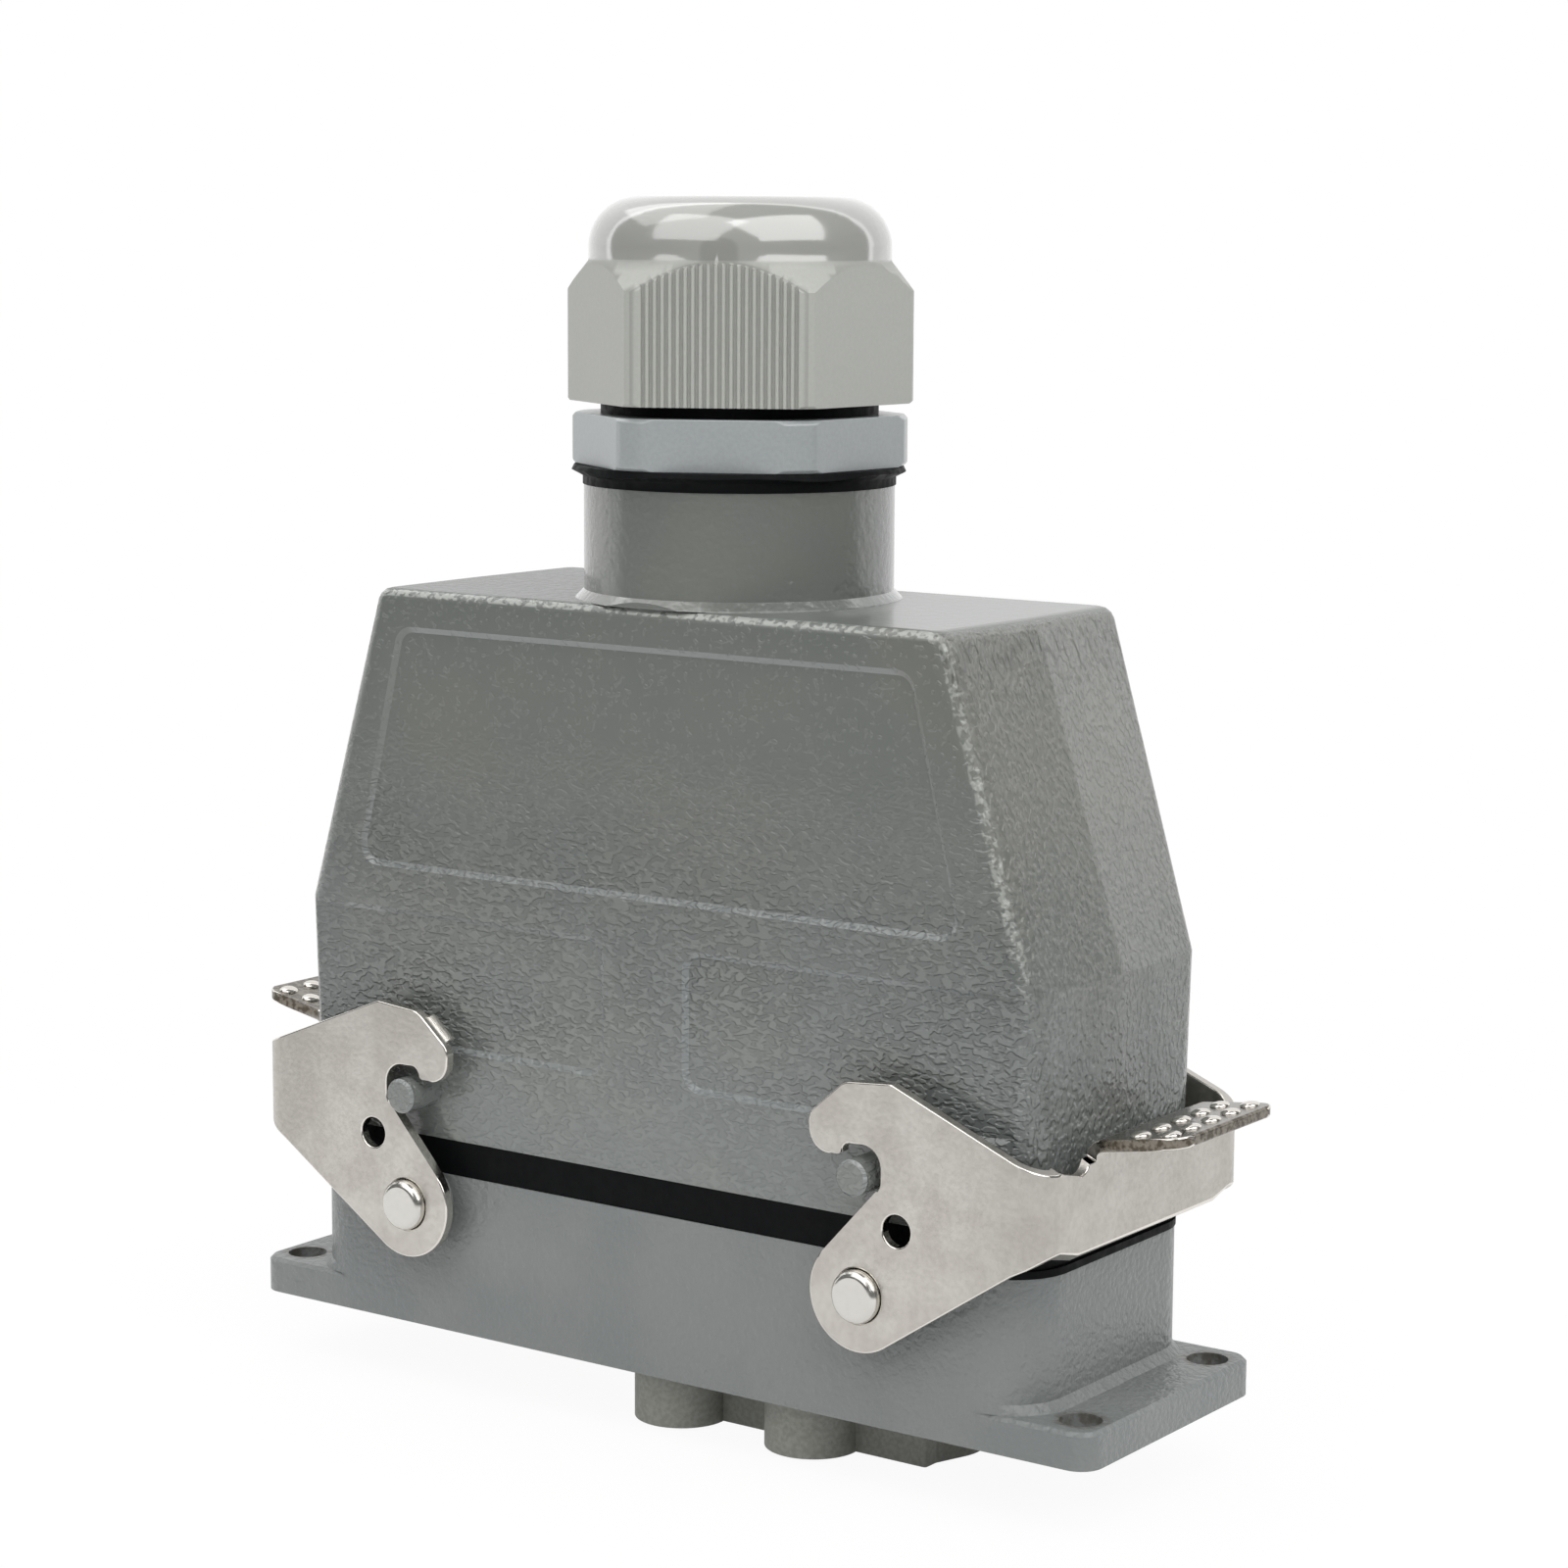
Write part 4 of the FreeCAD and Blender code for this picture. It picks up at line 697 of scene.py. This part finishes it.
# Painted shade: darker grey on the web toward its folds.
flats = blend(tree, remap(tree, from_middle, *web_start, 0.0, web_shade_share), flats, web_shade_grey)
rubbed = blend(tree, remap(tree, pitted, 0.4, 0.6), *tab_browns)
tree.links.new(blend(tree, on_tab, flats, rubbed), shader.inputs["Base Color"])
satin = remap(tree, pitted, 0.35, 0.65, *flat_roughness)
tree.links.new(combine(tree, "SUBTRACT", satin, product(tree, on_tab, tab_gloss)),
               shader.inputs["Roughness"])
emboss(tree, shader, pitted, lever_crests)

# Cut edges: glossier from tumbling, and painted lighter than the flats as a highlight.
edge_gloss_and_highlight, tree, shader, place = bare_finish("lever_edge", (0.74, 0.71, 0.66), 0.14, 1.0)
worn = grain(tree, place, 0.0012)
uneven_gloss(tree, shader, worn, smooth=0.1, dull=0.22, low=0.35, high=0.65)
for name in ("left_lever", "right_lever"):
    lever = finished_copy(name, lever_edge, lever_finish, name, edge_material=edge_gloss_and_highlight,
                          shaping=hang_web, weld=lever_weld)


# Thumb grips: two rows of five bumps pressed up from under each lever's tab, with the finish of
# its cut edges: worn glossy, and painted lighter as a highlight. They lie in the tab's own tilt
# and turn with the lever.
bump_rows = 2
bumps_in_row = 5
bump_pitch = 0.005
bump_row_gap = 0.00435
bump_radius = 0.0013
bump_height = 0.0006
bump_stretch = 1.15
first_row_x = 0.0693
tab_tilt = math.radians(8.5)
tab_root_x = 0.0648
tab_tip_z = 0.04175
tab_length = 0.0118
tab_root_z = tab_tip_z - tab_length * math.tan(tab_tilt)
bump_middle_x = first_row_x + bump_row_gap / 2
bump_middle_z = tab_root_z + (bump_middle_x - tab_root_x) * math.tan(tab_tilt)

grip = bpy.data.node_groups.new("thumb_grip", "GeometryNodeTree")
grip.interface.new_socket(name="Geometry", in_out="OUTPUT", socket_type="NodeSocketGeometry")
grip_sockets = {}
for label, kind in (("Bumps in a row", "NodeSocketInt"), ("Rows", "NodeSocketInt"),
                    ("Length of rows", "NodeSocketFloat"), ("Width of rows", "NodeSocketFloat"),
                    ("Bump radius", "NodeSocketFloat"), ("Bump scale", "NodeSocketVector"),
                    ("Tilt", "NodeSocketVector"), ("Middle", "NodeSocketVector"),
                    ("Finish", "NodeSocketMaterial")):
    socket = grip.interface.new_socket(name=label, in_out="INPUT", socket_type=kind)
    grip_sockets[label] = socket.identifier
given = grip.nodes.new("NodeGroupInput").outputs
field = grip.nodes.new("GeometryNodeMeshGrid")
bump = grip.nodes.new("GeometryNodeMeshUVSphere")
bump.inputs["Segments"].default_value = 16
bump.inputs["Rings"].default_value = 10
smooth = grip.nodes.new("GeometryNodeSetShadeSmooth")
spread = grip.nodes.new("GeometryNodeInstanceOnPoints")
lay = grip.nodes.new("GeometryNodeTransform")
real = grip.nodes.new("GeometryNodeRealizeInstances")
finish = grip.nodes.new("GeometryNodeSetMaterial")
made = grip.nodes.new("NodeGroupOutput")
for start, end in ((given["Width of rows"], field.inputs["Size X"]),
                   (given["Length of rows"], field.inputs["Size Y"]),
                   (given["Rows"], field.inputs["Vertices X"]),
                   (given["Bumps in a row"], field.inputs["Vertices Y"]),
                   (given["Bump radius"], bump.inputs["Radius"]),
                   (bump.outputs["Mesh"], smooth.inputs["Geometry"]),
                   (field.outputs["Mesh"], spread.inputs["Points"]),
                   (smooth.outputs["Geometry"], spread.inputs["Instance"]),
                   (given["Bump scale"], spread.inputs["Scale"]),
                   (spread.outputs["Instances"], lay.inputs["Geometry"]),
                   (given["Middle"], lay.inputs["Translation"]),
                   (given["Tilt"], lay.inputs["Rotation"]),
                   (lay.outputs["Geometry"], real.inputs["Geometry"]),
                   (real.outputs["Geometry"], finish.inputs["Geometry"]),
                   (given["Finish"], finish.inputs["Material"]),
                   (finish.outputs["Geometry"], made.inputs["Geometry"])):
    grip.links.new(start, end)

for side, name in ((-1, "left_lever"), (1, "right_lever")):
    seed_mesh = bpy.data.meshes.new(name + "_grip_seed")
    maker = bpy.data.objects.new(name + "_grip_maker", seed_mesh)
    bpy.context.scene.collection.objects.link(maker)
    growth = maker.modifiers.new("thumb_grip", "NODES")
    growth.node_group = grip
    for label, value in (("Bumps in a row", bumps_in_row), ("Rows", bump_rows),
                         ("Length of rows", bump_pitch * (bumps_in_row - 1)),
                         ("Width of rows", bump_row_gap), ("Bump radius", bump_radius),
                         ("Bump scale", (1.0, bump_stretch, bump_height / bump_radius)),
                         ("Tilt", (0.0, -side * tab_tilt, 0.0)),
                         ("Middle", (side * bump_middle_x, 0.0, bump_middle_z)),
                         ("Finish", edge_gloss_and_highlight)):
        growth[grip_sockets[label]] = value
    bpy.context.view_layer.update()
    ready = maker.evaluated_get(bpy.context.evaluated_depsgraph_get())
    bumps_mesh = bpy.data.meshes.new_from_object(ready)
    bpy.data.objects.remove(maker)
    bumps = bpy.data.objects.new(name + "_grip", bumps_mesh)
    bpy.context.scene.collection.objects.link(bumps)
    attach(bumps, name)


# Gland washer and seals: black rubber, like the gasket. The washer lies between the hood's neck
# and the gland's body, which squeeze it a little out of true where it stands proud of them.
squeezed_from = 0.0212
washer_face = 0.05
washer_lift = 0.00028
washer_waves = ((0.6, 5, 0.7), (0.4, 9, 2.1))
washer_pull = 0.012
pull_lobes = 7
pull_phase = 1.3
pull_twist = 2.0

washer = finished_copy("gland_washer", 0.0, rubber_finish, "connector")
washer_low, washer_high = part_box("gland_washer")
for vertex in washer.data.vertices:
    out = math.hypot(vertex.co.x, vertex.co.y)
    if out > squeezed_from:
        angle = math.atan2(vertex.co.y, vertex.co.x)
        share = (out - squeezed_from) / (washer_high[0] - squeezed_from)
        height = (vertex.co.z - washer_low[2]) / (washer_high[2] - washer_low[2])
        if washer_face < height < 1.0 - washer_face:
            wave = sum(size * math.sin(lobes * angle + phase)
                       for size, lobes, phase in washer_waves)
            vertex.co.z += washer_lift * wave * share
        swing = math.sin(pull_lobes * angle + pull_phase + pull_twist * height)
        pull = 1.0 - washer_pull * share * (0.5 + 0.5 * swing)
        vertex.co.x *= pull
        vertex.co.y *= pull
dress(["nut_seal_ring", "gland_seal"], rubber_finish)


# Gland claw: a ring of plastic fingers under the domed nut, moulded in one piece, which the nut
# presses in round the seal. It keeps the shape of its CAD solid.
claw_crests = 0.00002

claw_finish, tree, shader, place = bare_finish("claw_plastic", (0.05, 0.05, 0.05), 0.5)
emboss(tree, shader, grain(tree, place, 0.0006), claw_crests)
dress(["gland_claw"], claw_finish)


# Gland body: a hexagon with a thread above and below it, moulded in pale blue-grey nylon and
# screwed down into the hood's neck on its washer.
body_edge = 0.0003
body_crests = 0.00002
body_greys = ((0.305, 0.33, 0.338), (0.33, 0.353, 0.36))

body_finish, tree, shader, place = bare_finish("gland_body_plastic", (0.32, 0.34, 0.35), 0.28)
shader.inputs["Specular IOR Level"].default_value = 0.7
shader.inputs["Coat Weight"].default_value = 0.4
shader.inputs["Coat Roughness"].default_value = 0.15
moulded = grain(tree, place, 0.0005)
tree.links.new(blend(tree, remap(tree, moulded, 0.3, 0.7), *body_greys),
               shader.inputs["Base Color"])
emboss(tree, shader, moulded, body_crests)
gland_body = finished_copy("gland_body", body_edge, body_finish, "connector")


# Gland nut: a hexagon with fine flutes on every second flat and a polished dome over it, moulded
# in warm grey nylon. Turned by hand or spanner, it draws the claw and the seal onto the cable.
nut_crease = 22.0
nut_turn = math.radians(28.4)
nut_flat = 0.0204
flute_wall = (nut_flat - 0.00032, nut_flat - 0.00004)
under_flutes = (nut_flat - 0.0005, nut_flat - 0.0004)
dome_foot = (0.1471, 0.1476)
# Painted shade: the dome is painted darker than the flats of the same nylon.
nut_greys = ((0.375, 0.384, 0.356), (0.395, 0.403, 0.376))
dome_shade_grey = (0.315, 0.322, 0.303)
flute_shadow = (0.16, 0.163, 0.15)

nut_finish, tree, shader, place = bare_finish("gland_nut_plastic", (0.37, 0.378, 0.355), 0.3)
shader.inputs["Specular IOR Level"].default_value = 0.8
shader.inputs["Coat Roughness"].default_value = 0.11
shader.inputs["Coat IOR"].default_value = 1.8
_, _, rise = axes(tree, place)
on_dome = remap(tree, rise, *dome_foot)
tree.links.new(on_dome, shader.inputs["Coat Weight"])
tree.links.new(blend(tree, on_dome, 0.5, 0.14, "FLOAT"), shader.inputs["Roughness"])
moulded = grain(tree, place, 0.0005)
shade = blend(tree, remap(tree, moulded, 0.3, 0.7), *nut_greys)
# Painted shade: darker grey on the dome, beside its reflections.
shade = blend(tree, on_dome, shade, dome_shade_grey)
flat_reach = 0.0
for third in range(3):
    angle = nut_turn + math.radians(120 * third - 90)
    outward = reach_along(tree, place, (math.cos(angle), math.sin(angle), 0.0))
    flat_reach = combine(tree, "MAXIMUM", flat_reach, outward)
in_flute = product(tree, remap(tree, flat_reach, *flute_wall, 0.36, 0.0),
                   remap(tree, flat_reach, *under_flutes))
tree.links.new(blend(tree, in_flute, shade, flute_shadow), shader.inputs["Base Color"])
nut = finished_copy("gland_nut", 0.0, nut_finish, "gland_nut", nut_crease)
